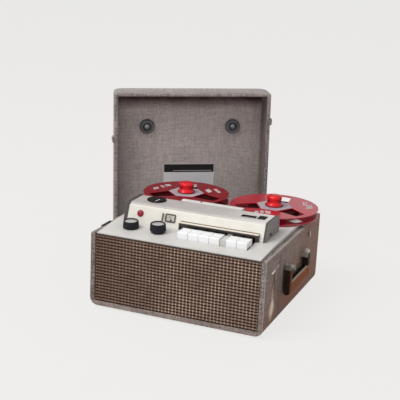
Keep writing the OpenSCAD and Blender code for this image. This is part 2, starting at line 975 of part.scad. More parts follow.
// Two posts on the right wall: a plate and a round-ended block that a handle pin turns in
module handle_posts() {
    plate_t = 1.2;
    plate_h = 12;
    ear_y = arm_w / 2 + move_gap;
    color([0.72, 0.71, 0.69])
        for (end = [0, 1])
            translate([0, handle_y + (end - 0.5) * handle_span, handle_z])
                mirror([0, end, 0])
                    difference() {
                        union() {
                            box([half_w, ear_y, -plate_h / 2], [half_w + plate_t, ear_y + ear_t, plate_h / 2]);
                            box([half_w, ear_y, -ear_r], [pivot_x, ear_y + ear_t, ear_r]);
                            translate([pivot_x, ear_y, 0])
                                rotate([-90, 0, 0])
                                    cylinder(r = ear_r, h = ear_t);
                        }
                        translate([pivot_x, ear_y - eps, 0])
                            rotate([-90, 0, 0])
                                cylinder(r = pin_r + run_clear, h = ear_t + 2 * eps);
                    }
}

// Two arms with round lower ends that hang from the posts on their pins
module handle_bail() {
    color([0.14, 0.13, 0.13])
        for (end = [0, 1])
            translate([pivot_x, handle_y + (end - 0.5) * handle_span, handle_z])
                mirror([0, end, 0])
                    rotate([-90, 0, 0]) {
                        translate([0, 0, -arm_w / 2]) {
                            cylinder(r = arm_t / 2, h = arm_w);
                            translate([-arm_t / 2, 0, 0])
                                cube([arm_t, handle_drop - arm_t / 2, arm_w]);
                            translate([0, handle_drop - arm_t / 2, 0])
                                cylinder(r = arm_t / 2, h = arm_w);
                        }
                        cylinder(r = pin_r, h = arm_w / 2 + move_gap + ear_t);
                    }
}

// Brown grip between the lower ends of the arms
module handle_grip() {
    reach = handle_span / 2 - arm_w / 2;
    color([0.45, 0.24, 0.12])
        box([pivot_x - grip_t / 2, handle_y - reach, handle_z - handle_drop],
            [pivot_x + grip_t / 2, handle_y + reach, handle_z - handle_drop + grip_h]);
}

// Bright keepers for the lid catches, one on each side wall
module latch_keepers() {
    out = 2;
    color([0.80, 0.79, 0.77])
        for (side = [0, 1])
            mirror([side, 0, 0])
                box([half_w, keeper_y - 2, keeper_z], [half_w + out, keeper_y + 2, keeper_z + keeper_h]);
}

// Dark pad on the left wall top, for the lid to rest on
module wall_pad() {
    color([0.20, 0.20, 0.20])
        box([-half_w, pad_y - pad_l / 2, wall_top], [-half_w + pad_w, pad_y + pad_l / 2, wall_top + pad_t]);
}

// Flat belts: motor to flywheel, and capstan to the right turntable
module drive_belts() {
    color([0.10, 0.10, 0.10]) {
        belt([motor_x, motor_y], motor_pulley_r, [capstan_x, capstan_y], flywheel_r, drive_belt_z);
        belt([capstan_x, capstan_y], capstan_pulley_r, [spindle_x, spindle_y], table_pulley_r,
            takeup_belt_z);
    }
}

// One belt around two pulleys
module belt(c1, r1, c2, r2, z) {
    translate([0, 0, z - belt_w / 2])
        linear_extrude(belt_w)
            difference() {
                belt_area(c1, r1 + belt_gap + belt_t, c2, r2 + belt_gap + belt_t);
                belt_area(c1, r1 + belt_gap, c2, r2 + belt_gap);
            }
}

// Area that a belt around two pulleys encloses
module belt_area(c1, r1, c2, r2) {
    hull() {
        translate(c1)
            circle(r1);
        translate(c2)
            circle(r2);
    }
}

// A turntable: disc over the deck, spindle, shaft and belt pulley under the deck
module turntable(x) {
    color([0.70, 0.70, 0.70])
        translate([x, spindle_y, 0]) {
            translate([0, 0, table_z])
                cylinder(r = table_r, h = table_t);
            translate([0, 0, table_z])
                cylinder(r = spindle_r, h = table_t + reel_t + 5);
            translate([0, 0, bush_z])
                cylinder(r = shaft_r, h = table_z - bush_z + eps);
            translate([0, 0, takeup_belt_z - pulley_w / 2])
                cylinder(r = table_pulley_r, h = pulley_w);
        }
}

module supply_turntable() {
    turntable(-spindle_x);
}

module takeup_turntable() {
    turntable(spindle_x);
}

// A reel: hub between two flanges with three windows each
module reel(x, turn) {
    color([0.75, 0.14, 0.20])
        translate([x, spindle_y, reel_z])
            rotate([0, 0, turn])
                difference() {
                    union() {
                        for (z = [0, reel_t - flange_t])
                            translate([0, 0, z])
                                linear_extrude(flange_t)
                                    flange();
                        cylinder(r = hub_r, h = reel_t);
                    }
                    translate([0, 0, -eps])
                        cylinder(r = hub_bore_r, h = reel_t + 2 * eps);
                }
}

// Flange with three windows that narrow toward the rim
module flange() {
    difference() {
        circle(reel_r);
        for (n = [0 : 2])
            rotate(n * 120)
                intersection() {
                    polygon([[window_in, -window_wide / 2], [window_in, window_wide / 2],
                        [reel_r, window_narrow / 2], [reel_r, -window_narrow / 2]]);
                    circle(window_out);
                }
    }
}

module supply_reel() {
    reel(-spindle_x, supply_turn);
}

module takeup_reel() {
    reel(spindle_x, takeup_turn);
}

// Tape wound on a reel hub
module tape_pack(x, r) {
    color([0.22, 0.13, 0.09])
        translate([x, spindle_y, tape_z])
            difference() {
                cylinder(r = r, h = tape_w);
                translate([0, 0, -eps])
                    cylinder(r = hub_r, h = tape_w + 2 * eps);
            }
}

module supply_tape() {
    tape_pack(-spindle_x, supply_tape_r);
}

module takeup_tape() {
    tape_pack(spindle_x, takeup_tape_r);
}

// Waisted cap that holds a reel on its spindle
module reel_cap(x) {
    foot = 2.5;
    head = 5.5;
    color([0.85, 0.06, 0.08])
        translate([x, spindle_y, reel_top])
            difference() {
                union() {
                    cylinder(r = cap_r, h = foot);
                    translate([0, 0, foot])
                        cylinder(r1 = cap_neck_r + 1.2, r2 = cap_neck_r, h = cap_h - foot - head);
                    translate([0, 0, cap_h - head])
                        cylinder(r1 = cap_neck_r, r2 = cap_top_r, h = head - 1.5);
                    translate([0, 0, cap_h - 1.5])
                        cylinder(r1 = cap_top_r, r2 = cap_top_r - 1.2, h = 1.5);
                }
                translate([0, 0, -eps])
                    cylinder(r = spindle_r, h = 5 + eps);
            }
}

module supply_cap() {
    reel_cap(-spindle_x);
}

module takeup_cap() {
    reel_cap(spindle_x);
}

// Capstan shaft with its flywheel and the take-up pulley
module capstan_flywheel() {
    color([0.66, 0.66, 0.66])
        translate([capstan_x, capstan_y, 0]) {
            translate([0, 0, bush_z])
                cylinder(r = shaft_r, h = capstan_top - bush_z);
            translate([0, 0, drive_belt_z - flywheel_w / 2])
                cylinder(r = flywheel_r, h = flywheel_w);
            translate([0, 0, takeup_belt_z - pulley_w / 2])
                cylinder(r = capstan_pulley_r, h = pulley_w);
        }
}

// Motor shaft with its flanged pulley
module motor_pulley() {
    rim = 2;
    color([0.78, 0.66, 0.40])
        translate([motor_x, motor_y, 0]) {
            translate([0, 0, chassis_z - shaft_tail])
                cylinder(r = axle_r, h = drive_belt_z - chassis_z + shaft_tail);
            translate([0, 0, drive_belt_z - pulley_w / 2])
                cylinder(r = motor_pulley_r, h = pulley_w);
            for (z = [-pulley_w / 2 - 1, pulley_w / 2])
                translate([0, 0, drive_belt_z + z])
                    cylinder(r = motor_pulley_r + rim, h = 1);
        }
}

// Lever that swings the pinch roller to the capstan, on its pin in the deck
module pinch_arm() {
    arm_h = 2;
    arm_z = deck_z + move_gap;
    reach = norm([roller_x - pinch_x, roller_y - pinch_y]);
    color([0.60, 0.60, 0.60]) {
        translate([pinch_x, pinch_y, arm_z]) {
            cylinder(r = pinch_pin_r + 2.5, h = arm_h);
            translate([0, 0, -move_gap - deck_t - 2])
                cylinder(r = pinch_pin_r, h = move_gap + deck_t + 2 + eps);
            rotate([0, 0, atan2(roller_y - pinch_y, roller_x - pinch_x)])
                translate([0, -3, 0])
                    cube([reach, 6, arm_h]);
        }
        translate([roller_x, roller_y, arm_z])
            cylinder(r = pinch_pin_r, h = tape_z + tape_w + 2 - arm_z);
    }
}

// Rubber pinch roller on the arm's pin
module pinch_roller() {
    roller_z = deck_z + 2 * move_gap + 2;
    color([0.15, 0.15, 0.15])
        translate([roller_x, roller_y, roller_z])
            difference() {
                cylinder(r = roller_r, h = tape_z + tape_w + 1 - roller_z);
                translate([0, 0, -eps])
                    cylinder(r = pinch_pin_r + run_clear, h = 20);
            }
}

// Lid standing on its front edge, its inside toward the front
module lid_shell() {
    color([0.52, 0.48, 0.45])
        on_lid()
            difference() {
                linear_extrude(case_d)
                    translate([0, lid_h])
                        mirror([0, 1])
                            round_bottom(case_w, lid_h, corner_r);
                box([-half_w + lid_t, -eps, lid_t], [half_w - lid_t, lid_h - lid_t, case_d - lid_t]);
            }
}

// Round rubber bumpers that press on the reel caps, each with its screw
module lid_bumpers() {
    hole_r = 6.3;
    color([0.24, 0.24, 0.25])
        on_lid()
            for (side = [-1, 1])
                translate([side * bumper_x, lid_h - lid_t, bumper_z])
                    rotate([90, 0, 0])
                        difference() {
                            cylinder(r = bumper_r, h = bumper_h);
                            translate([0, 0, 2])
                                cylinder(r = hole_r, h = bumper_h);
                        }
}

// Printed card on the lid's inside
module label_card() {
    card_t = 0.6;
    color([0.72, 0.71, 0.70])
        on_lid()
            box([-card_w / 2, lid_h - lid_t - card_t, card_top - card_h],
                [card_w / 2, lid_h - lid_t, card_top]);
}

// Spring catches on both sides of the lid rim, and the stay plate under its lower edge
module lid_catches() {
    out = 2.5;
    color([0.62, 0.60, 0.57])
        on_lid() {
            for (side = [[0, catch_right_z], [1, catch_left_z]])
                mirror([side[0], 0, 0])
                    box([half_w, 1, side[1] - catch_w / 2], [half_w + out, 11, side[1] + catch_w / 2]);
            box([stay_x, (lid_h - stay_d) / 2, -stay_h], [stay_x + stay_w, (lid_h + stay_d) / 2, 0]);
        }
}

case_shell();
rear_panel();
grille_baffle();
grille_cloth();
speaker();
deck_plate();
deck_screws();
chassis();
motor();
shaft_bushes();
head_cover();
end_cheeks();
head_shield();
head_block();
tape_web();
lamp_lens();
meter_case();
meter_window();
potentiometers();
key_frame();
counter_frame();
amplifier_board();
valves();
transformers();
rear_sockets();
base_runners();
handle_posts();
latch_keepers();
wall_pad();
drive_belts();
supply_turntable();
supply_reel();
supply_tape();
supply_cap();
takeup_turntable();
takeup_reel();
takeup_tape();
takeup_cap();
capstan_flywheel();
motor_pulley();
pinch_arm();
pinch_roller();
volume_knob();
tone_knob();
rewind_key();
stop_key();
play_key();
forward_key();
pause_key();
record_key();
selector_disc();
meter_needle();
counter_drums();
counter_reset();
handle_bail();
handle_grip();
lid_shell();
lid_bumpers();
label_card();
lid_catches();
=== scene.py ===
"""Looks of a portable reel-to-reel tape recorder with its lift-off lid standing behind it.

Sizes are in millimetres, as on a drawing, and piece() turns them into metres.
X runs along the width, Y from the front to the rear, Z up from the floor.
"""
from math import cos, radians, sin, tan

import bmesh
import bpy
import numpy as np
from mathutils import Matrix, Vector


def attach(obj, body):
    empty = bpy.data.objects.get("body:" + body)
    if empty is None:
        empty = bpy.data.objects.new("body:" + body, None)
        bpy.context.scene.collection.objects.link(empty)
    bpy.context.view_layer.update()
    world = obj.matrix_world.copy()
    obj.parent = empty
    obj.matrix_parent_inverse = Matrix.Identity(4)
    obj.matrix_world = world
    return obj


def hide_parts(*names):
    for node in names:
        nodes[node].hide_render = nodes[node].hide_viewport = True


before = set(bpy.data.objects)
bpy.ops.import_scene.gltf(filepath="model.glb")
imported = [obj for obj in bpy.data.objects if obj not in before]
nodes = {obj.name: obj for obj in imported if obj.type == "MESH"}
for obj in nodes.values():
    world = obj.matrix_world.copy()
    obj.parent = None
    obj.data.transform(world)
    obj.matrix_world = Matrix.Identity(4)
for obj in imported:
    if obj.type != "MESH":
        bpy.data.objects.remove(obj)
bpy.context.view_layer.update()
bpy.context.scene.view_settings.view_transform = "Standard"


# CASE SHELL
# A plywood trough, bottom and two sides with round lower edges, wrapped in woven taupe cloth.
# The cloth is glued over the edges, so every edge is a little soft; the deck rests on two battens.

def paint(red, green, blue):
    """A display colour of 0 to 255 as the linear colour that a shader socket takes."""
    c = np.array([red, green, blue]) / 255
    linear = np.where(c <= 0.04045, c / 12.92, ((c + 0.055) / 1.055) ** 2.4)
    return (*linear.tolist(), 1.0)


def rounded(corners, radii, steps=6):
    """Polygon whose corners are arcs. At each corner the arc's ends lie r / tan(half angle) along
    both sides, its centre r / sin(half angle) along the bisector, and the points between the two
    ends follow the great-circle blend sin((1-s)w) a + sin(sw) b over sin w."""
    p = np.asarray(corners, float)
    r = np.broadcast_to(np.asarray(radii, float), len(p))[:, None]
    back, ahead = np.roll(p, 1, 0) - p, np.roll(p, -1, 0) - p
    back /= np.linalg.norm(back, axis=1, keepdims=True)
    ahead /= np.linalg.norm(ahead, axis=1, keepdims=True)
    half = np.arccos(np.clip((back * ahead).sum(1, keepdims=True), -1, 1)) / 2
    middle = (back + ahead) / np.linalg.norm(back + ahead, axis=1, keepdims=True)
    centre = p + middle * r / np.sin(half)
    a, b = p + back * r / np.tan(half) - centre, p + ahead * r / np.tan(half) - centre
    w = (np.pi - 2 * half)[:, :, None]
    s = np.linspace(0, 1, steps)[None, :, None]
    arc = (np.sin((1 - s) * w) * a[:, None] + np.sin(s * w) * b[:, None]) / np.sin(w)
    return (centre[:, None] + arc).reshape(-1, 2)


def slab(x0, z0, x1, z1, radii, steps=6):
    """Rectangle with round corners, from one corner to the opposite one."""
    return rounded([(x0, z0), (x1, z0), (x1, z1), (x0, z1)], radii, steps)


def skin(rings, capped=True):
    """Closed rings joined one to the next by quads, with the first and the last closed flat, or
    left as they are where the last ring is the first one again."""
    ids = np.arange(rings[..., 0].size).reshape(rings.shape[:2])
    side = np.roll(ids, -1, axis=1)
    quads = np.stack([ids[:-1], side[:-1], side[1:], ids[1:]], -1).reshape(-1, 4).tolist()
    caps = [ids[0][::-1].tolist(), ids[-1].tolist()] if capped else []
    return rings.reshape(-1, 3), quads + caps


def bar(axis, start, stop, outline):
    """Outline in the plane square to an axis, carried straight along that axis."""
    column = "xyz".index(axis)
    ends = [np.insert(np.asarray(outline, float), column, at, axis=1) for at in (start, stop)]
    return skin(np.stack(ends))


def wire(tree, kind, inputs, **settings):
    """Adds one shader node: settings are its own choices, inputs are values or sockets to link."""
    node = tree.nodes.new("ShaderNode" + kind)
    for key, value in settings.items():
        setattr(node, key, value)
    for key, value in inputs.items():
        if isinstance(value, bpy.types.NodeSocket):
            tree.links.new(value, node.inputs[key])
        else:
            node.inputs[key].default_value = value
    return node


def sums(operation, *terms):
    """One Math node on one to three terms, the first of them a socket; gives its output socket."""
    return wire(terms[0].id_data, "Math", dict(enumerate(terms)), operation=operation).outputs[0]


def times(first, second):
    """Product of a socket and another socket or a number."""
    return sums("MULTIPLY", first, second)


def vector(operation, *terms):
    """One Vector Math node, the first term a socket; gives its vector, or the value it measures."""
    node = wire(terms[0].id_data, "VectorMath", dict(enumerate(terms)), operation=operation)
    return node.outputs[operation in ("DOT_PRODUCT", "DISTANCE")]


def axes(spot):
    """The three coordinates of a place, as sockets."""
    return wire(spot.id_data, "SeparateXYZ", {0: spot}).outputs


def noise(spot, scale, detail, output="Fac", **more):
    """Noise of 0 to 1 at a place, as a socket: one value, or three with the output Color."""
    terms = {"Vector": spot, "Scale": scale, "Detail": detail, **more}
    return wire(spot.id_data, "TexNoise", terms).outputs[output]


def ramp(value, low, high, to_low=0.0, to_high=1.0, **settings):
    """Value between low and high carried to the range to_low to to_high, as a socket."""
    terms = {"Value": value, 1: low, 2: high, 3: to_low, 4: to_high}
    return wire(value.id_data, "MapRange", terms, **settings).outputs[0]


def tint(share, *colours):
    """Mix of two colours by a share; each is a socket or a display colour of 0 to 255."""
    first, second = (c if isinstance(c, bpy.types.NodeSocket) else paint(*c) for c in colours)
    return wire(share.id_data, "Mix", {0: share, 6: first, 7: second}, data_type="RGBA").outputs[2]


def new_group(name, inputs, outputs):
    """Empty shader group. A socket is written as its name, with a colon and its kind where it isn't
    a plain number; returns the tree, the sockets that give and the sockets to fill."""
    tree = bpy.data.node_groups.new(name, "ShaderNodeTree")
    for way, sockets in (("INPUT", inputs), ("OUTPUT", outputs)):
        for socket, _, kind in (word.partition(":") for word in sockets.split()):
            kind = "NodeSocket" + (kind or "Float")
            tree.interface.new_socket(socket, in_out=way, socket_type=kind)
    return tree, tree.nodes.new("NodeGroupInput").outputs, tree.nodes.new("NodeGroupOutput").inputs


# Plain weave: warp shows where the two thread numbers add to an even number, weft elsewhere. Each
# thread is a sine arch across its width; slubs along it and a fleck at each crossing shade it.
weave, given, put = new_group(
    "plain_weave", "Vector:Vector Threads Light:Color Dark:Color Slub Fleck", "Colour:Color Height")
terms = {0: given["Vector"], "Scale": given["Threads"]}
across = axes(wire(weave, "VectorMath", terms, operation="SCALE").outputs[0])
row = [sums("FLOOR", across[k]) for k in (0, 1)]
arch = [sums("ABSOLUTE", sums("SINE", times(across[k], np.pi))) for k in (0, 1)]
over = sums("MODULO", sums("ADD", sums("ADD", row[0], row[1]), 20000), 2)
along = []
for number, length in ((row[0], across[1]), (row[1], across[0])):
    place = wire(weave, "CombineXYZ", {0: times(number, 3.7), 1: times(length, 0.07)})
    along.append(noise(place.outputs[0], 1.0, 2.0))
thread = wire(weave, "Mix", {0: over, 2: arch[0], 3: arch[1]}).outputs[0]
lean = ramp(over, 0, 1, 0.3, 0.7)
shade = wire(weave, "Mix", {0: lean, 2: along[0], 3: along[1]}).outputs[0]
crossing = wire(weave, "CombineXYZ", {0: row[0], 1: row[1]}).outputs[0]
chance = wire(weave, "TexWhiteNoise", {"Vector": crossing}).outputs["Value"]
slub = times(ramp(shade, 0.36, 0.64, -0.5, 0.5), given["Slub"])
fleck = times(sums("SUBTRACT", chance, 0.5), given["Fleck"])
base = sums("MULTIPLY_ADD", sums("POWER", thread, 0.7), 0.45, 0.22)
lit = sums("ADD", base, sums("ADD", slub, fleck))
weave.links.new(tint(lit, given["Dark"], given["Light"]), put["Colour"])
weave.links.new(thread, put["Height"])

# Grain: one fine noise moves the colour between two tones, the roughness between two values, and
# gives a height; stretching the coordinates first turns it into brushing or wood grain.
grain, given, put = new_group(
    "fine_grain", "Vector:Vector Scale First:Color Second:Color Smooth Rough",
    "Colour:Color Roughness Height")
speck = noise(given["Vector"], given["Scale"], 4.0, Roughness=0.6)
broad = noise(given["Vector"], times(given["Scale"], 0.06), 2.0)
both = sums("MULTIPLY_ADD", broad, 0.5, times(speck, 0.5))
share = ramp(both, 0.38, 0.62)
grain.links.new(tint(share, given["First"], given["Second"]), put["Colour"])
gloss = {0: share, 2: given["Smooth"], 3: given["Rough"]}
grain.links.new(wire(grain, "Mix", gloss).outputs[0], put["Roughness"])
grain.links.new(speck, put["Height"])

# Scuffs: thin crossing scratches from stretched noise, and patches where handling rubbed the face.
scuff, given, put = new_group("scuffs", "Vector:Vector Scale Amount", "Mask")
lines = []
for turn in (0.5, 2.1):
    terms = {0: given["Vector"], "Rotation": (0.3, turn, turn), "Scale": (1.0, 14.0, 14.0)}
    turned = wire(scuff, "Mapping", terms).outputs[0]
    lines.append(ramp(noise(turned, given["Scale"], 3.0), 0.68, 0.76))
patch = noise(given["Vector"], given["Scale"], 5.0)
worn = times(sums("MAXIMUM", lines[0], lines[1]), ramp(patch, 0.45, 0.6))
scuff.links.new(times(worn, given["Amount"]), put["Mask"])


def blank(name, **plain):
    """New node material with plain values on its shader; returns material, tree and shader."""
    material = bpy.data.materials.new(name)
    material.use_nodes = True
    tree = material.node_tree
    shader = tree.nodes["Principled BSDF"]
    for socket, value in plain.items():
        shader.inputs[socket.replace("_", " ")].default_value = value
    return material, tree, shader


def use(group, spot, **inputs):
    """One shader group at a place, with its own values; returns its output sockets."""
    return wire(spot.id_data, "Group", {"Vector": spot, **inputs}, node_tree=group).outputs


def fill(shader, colour, fine=None, depth=0.0, height=None, **more):
    """Colour of the shader, the roughness of a grain, other sockets, and a bump of a depth in
    metres from a height of 0 to 1, which for a grain is its own."""
    tree = colour.id_data
    more["Base_Color"] = colour
    if fine is not None:
        more["Roughness"], height = fine["Roughness"], fine["Height"]
    if depth:
        terms = {"Height": height, "Distance": depth, "Strength": 1.0}
        more["Normal"] = wire(tree, "Bump", terms).outputs[0]
    for socket, value in more.items():
        tree.links.new(value, shader.inputs[socket.replace("_", " ")])


def object_place(tree, stretch=(1, 1, 1)):
    """Object coordinates in metres, scaled on each axis, as a socket."""
    spot = wire(tree, "TexCoord", {}).outputs["Object"]
    return wire(tree, "Mapping", {0: spot, "Scale": stretch}).outputs[0]


def cloth(name, light, dark, finish):
    """Woven cloth on the piece's own UV map, duller in clouds and rubbed in places; finish takes
    the place, the cloud and the colour, and gives the colour with the piece's own wear and painted
    light."""
    material, tree, shader = blank(name, Roughness=0.92, Specular_IOR_Level=0.25, Sheen_Weight=0.12)
    flat = wire(tree, "TexCoord", {}).outputs["UV"]
    threads = use(weave, flat, Threads=560.0, Light=paint(*light), Dark=paint(*dark),
                  Slub=0.95, Fleck=0.7)
    spot = object_place(tree)
    cloud = noise(spot, 22.0, 4.0)
    dull = tint(ramp(cloud, 0.35, 0.75, 0.0, 0.3), threads["Colour"], dark)
    wear_and_reflection = use(scuff, spot, Scale=9.0, Amount=0.4)["Mask"]
    colour = finish(spot, cloud, tint(wear_and_reflection, dull, (180, 171, 166)))
    fill(shader, colour, depth=0.0003, height=threads["Height"])
    return material


def stroke(spot, first, last, wide, full):
    """Mask of a leaf-shaped mark between two points in millimetres: 0 where the distance from the
    line passes wide times the sine of half a turn times the share of the way, and rising smoothly
    to 1 where it is full times that."""
    start, along = np.array(first) / 1000, np.subtract(last, first) / 1000
    away = vector("SUBTRACT", spot, start.tolist())
    share = ramp(vector("DOT_PRODUCT", away, along.tolist()), 0.0, float(along @ along))
    terms = {0: along.tolist(), "Scale": share}
    foot = wire(spot.id_data, "VectorMath", terms, operation="SCALE").outputs[0]
    reach = sums("MULTIPLY_ADD", sums("SINE", times(share, np.pi)), wide / 1000, 0.00002)
    gap = sums("DIVIDE", vector("DISTANCE", away, foot), reach)
    return ramp(gap, 1.0, full, interpolation_type="SMOOTHSTEP")


def lay_cloth(mesh):
    """UV map in metres: each face is laid flat on the two axes that its normal leans to least."""
    def read(group, key, kind, width=1):
        values = np.empty(width * len(group), kind)
        group.foreach_get(key, values)
        return values.reshape(-1, width)

    corners = read(mesh.loops, "vertex_index", np.int32)[:, 0]
    spots = read(mesh.vertices, "co", np.float32, 3)[corners]
    facing = read(mesh.polygons, "normal", np.float32, 3)
    sides = read(mesh.polygons, "loop_total", np.int32)[:, 0]
    axis = np.abs(facing).argmax(1).repeat(sides)
    flat = np.stack([np.where(axis == 0, spots[:, 1], spots[:, 0]),
                     np.where(axis == 2, spots[:, 1], spots[:, 2])], -1)
    mesh.uv_layers.new(name="flat").data.foreach_set("uv", flat.astype(np.float32).ravel())


def add(name, data):
    """New object of a mesh, a lamp or a camera, linked to the scene."""
    made = bpy.data.objects.new(name, data)
    bpy.context.scene.collection.objects.link(made)
    return made


def piece(name, shapes, body, material, stands_for=(), soft=0.0, place=None, laid=False,
          crease=35, shares=None):
    """One object from closed shapes in millimetres: faces turned outwards, edges rounded by a soft
    width, laid out for cloth, put in its place, riding on a body of the frame, in place of the CAD
    nodes it stands for. Shares are named values from 0 to 1 for each point, for the material."""
    counts = np.cumsum([0] + [len(points) for points, _ in shapes])
    points = np.vstack([points for points, _ in shapes]) * 0.001
    cells = [[int(first + k) for k in cell] for first, (_, group) in zip(counts, shapes)
             for cell in group]
    mesh = bpy.data.meshes.new(name)
    mesh.from_pydata(points.tolist(), [], cells)
    work = bmesh.new()
    work.from_mesh(mesh)
    bmesh.ops.recalc_face_normals(work, faces=work.faces)
    work.to_mesh(mesh)
    work.free()
    if laid:
        lay_cloth(mesh)
    for share, values in (shares or {}).items():
        layer = mesh.attributes.new(share, "FLOAT", "POINT")
        layer.data.foreach_set("value", np.asarray(values, np.float32))
    if place is not None:
        mesh.transform(place)
    mesh.shade_smooth()
    mesh.set_sharp_from_angle(angle=radians(crease))
    mesh.materials.append(material)
    made = add(name, mesh)
    if soft:
        edge = made.modifiers.new("soft_edges", "BEVEL")
        edge.width, edge.segments, edge.limit_method = soft * 0.001, 3, "ANGLE"
        edge.angle_limit = radians(40)
    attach(made, body)
    if stands_for:
        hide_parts(*stands_for)
    return made


HALF_W, HALF_D, WALL_TOP, WALL_T, FOOT_H = 124.0, 124.0, 106.0, 7.0, 3.0
WALL_IN = HALF_W - WALL_T


def case_wear_and_light(spot, cloud, colour):
    """Painted warm reflection from below: brown that rises on the walls from their foot, most on
    the right wall, which is browner towards the rear and behind the grip. The right front edge and
    the wall tops are rubbed pale, the left front strip is a little darker and the front's lower
    edge a little paler. Painted shade darkens the gap beside the deck, and a painted shadow lies
    before the handle's front arm. One long scrape before the handle: pale nick, brown score, bare
    patch."""
    x, y, z = axes(spot)
    side = ramp(x, 0.1205, 0.1235)
    foot = times(ramp(z, 0.075, 0.005), ramp(cloud, 0.25, 0.65, 0.35, 0.9))
    brown = sums("ADD", ramp(y, -0.1236, -0.12, 0.0, 0.26), ramp(y, -0.03, 0.12, 0.0, 0.42))
    corner = times(ramp(x, 0.1226, 0.1236), ramp(y, -0.1226, -0.1236))
    front, top, off = ramp(y, -0.1222, -0.1232), ramp(z, 0.1045, 0.1056), sums("ABSOLUTE", x)
    for mask, share, tone in (
            # Painted warm reflection: brown rising from the foot of the walls, most on the right
            # wall, and the right wall browner towards the rear.
            (foot, ramp(side, 0, 1, 0.18, 0.8), (124, 78, 56)),
            (side, brown, (146, 102, 80)),
            (corner, 0.55, (200, 193, 189)),
            (front, ramp(x, -0.116, -0.117, 0.0, 0.22), (84, 70, 64)),
            (front, ramp(z, 0.0102, 0.0095, 0.0, 0.14), (196, 184, 178)),
            # Painted shade in the gap between the wall top and the deck.
            (top, ramp(off, 0.1184, 0.1178), (92, 82, 77)),
            (top, ramp(off, 0.1212, 0.1222, 0.0, 0.55), (196, 188, 183))):
        colour = tint(times(mask, share), colour, tone)
    ragged = vector("SUBTRACT", noise(spot, 90.0, 3.0, "Color"), (0.5, 0.5, 0.5))
    torn = vector("MULTIPLY_ADD", ragged, (0.0, 0.01, 0.01), spot)
    for first, last, wide, full, tone, strength in (
            # Painted warm reflection on the right wall behind the grip.
            ((-60, 34), (124, 28), 50, -0.8, (160, 92, 54), 0.95),
            # Painted shadow of the handle's front arm on the wall before it.
            ((-66, 100), (-62, 14), 34, -1.0, (62, 52, 48), 0.8),
            ((-87.5, 82), (-90, 44), 8.5, 0.5, (84, 52, 40), 0.9),
            ((-90, 66), (-92, 18), 7.5, 0.2, (196, 168, 150), 0.8),
            ((-89.5, 46), (-93, 14), 13.5, 0.1, (236, 212, 192), 0.95),
            ((-93, 26), (-96, 8), 13.0, -0.3, (168, 102, 66), 0.7),
            ((-102, 81.6), (-80, 83.6), 2.6, 0.5, (240, 233, 226), 1.0),
            ((-86, 83), (-70, 86), 1.8, 0.3, (206, 192, 182), 0.8)):
        mark = stroke(torn, (HALF_W, *first), (HALF_W, *last), wide, full)
        mark = times(mark, ramp(cloud, 0.2, 0.5, 0.6 * strength, strength))
        colour = tint(mark, colour, tone)
    return colour


case_cloth = cloth("case_cloth", (164, 151, 145), (84, 73, 68), case_wear_and_light)
trough = rounded(
    [(-HALF_W, WALL_TOP), (-HALF_W, FOOT_H), (HALF_W, FOOT_H), (HALF_W, WALL_TOP),
     (WALL_IN, WALL_TOP), (WALL_IN, FOOT_H + WALL_T), (-WALL_IN, FOOT_H + WALL_T),
     (-WALL_IN, WALL_TOP)],
    [1.6, 11, 11, 1.6, 1.4, 3, 3, 1.4], steps=8)
piece("case_wrap", [bar("y", -HALF_D, HALF_D, trough)], "case", case_cloth,
      ["case_shell"], soft=1.2, laid=True)


def toned(name, first, second, scale, smooth, rough, stretch=(1, 1, 1), **plain):
    """New material and a fine grain for it: two close tones and a roughness range. Returns the
    material, its shader, the place and the grain's sockets, which a piece's own wear builds on."""
    material, tree, shader = blank(name, **plain)
    spot = object_place(tree, stretch)
    fine = use(grain, spot, Scale=scale, First=paint(*first), Second=paint(*second),
               Smooth=smooth, Rough=rough)
    return material, shader, spot, fine


def grained(name, first, second, scale, smooth, rough, depth=0.0, stretch=(1, 1, 1), **plain):
    """Material of one fine grain and nothing else, with a bump depth in metres."""
    material, shader, _, fine = toned(name, first, second, scale, smooth, rough, stretch, **plain)
    fill(shader, fine["Colour"], fine, depth)
    return material


def dress(material, *names):
    """Gives CAD nodes a finish, keeping their shape."""
    for name in names:
        mesh = nodes[name].data
        mesh.materials.clear()
        mesh.materials.append(material)


batten_wood = grained(
    "batten_wood", (150, 116, 78), (186, 152, 108), 260, 0.6, 0.8, 0.0002, (1, 0.06, 1))
BATTEN_W, BATTEN_TOP, BATTEN_H, BATTEN_FRONT, BATTEN_REAR = 10.0, 103.6, 12.0, -108.0, 112.0
battens = [bar("y", BATTEN_FRONT, BATTEN_REAR, slab(
    side * WALL_IN, BATTEN_TOP - BATTEN_H, side * (WALL_IN - BATTEN_W), BATTEN_TOP, 0.8, 3))
    for side in (-1, 1)]
piece("deck_battens", battens, "case", batten_wood)


# BASE RUNNERS
# A frame of black rubber strips glued under the case, so that it stands off the table.
# The belts and the pinch roller are of the same rubber.
black_rubber = grained("black_rubber", (34, 34, 35), (48, 47, 47), 900, 0.65, 0.9, 0.0001)
dress(black_rubber, "base_runners", "drive_belts", "pinch_roller")


# GRILLE
# A hardboard baffle with a coarse brown cloth stretched over it, flush with the case front. Flat
# weft bands run across; thin paler warp cords go over and under them. The gaps between the bands,
# and the cords where they cross the gaps, are painted dark: painted shade for the holes.
dress(grained("hardboard", (96, 76, 58), (118, 94, 72), 420, 0.75, 0.95, 0.0002), "grille_baffle")

GRILLE_HALF, GRILLE_LOW, GRILLE_TOP = WALL_IN, 10.0, 102.6
GRILLE_FRONT, GRILLE_BACK = -122.9, -122.0
WEFT, WEFT_AT, WARP, WARP_AT, RAISE = 4.24, 0.3, 4.91, 2.86, 0.65


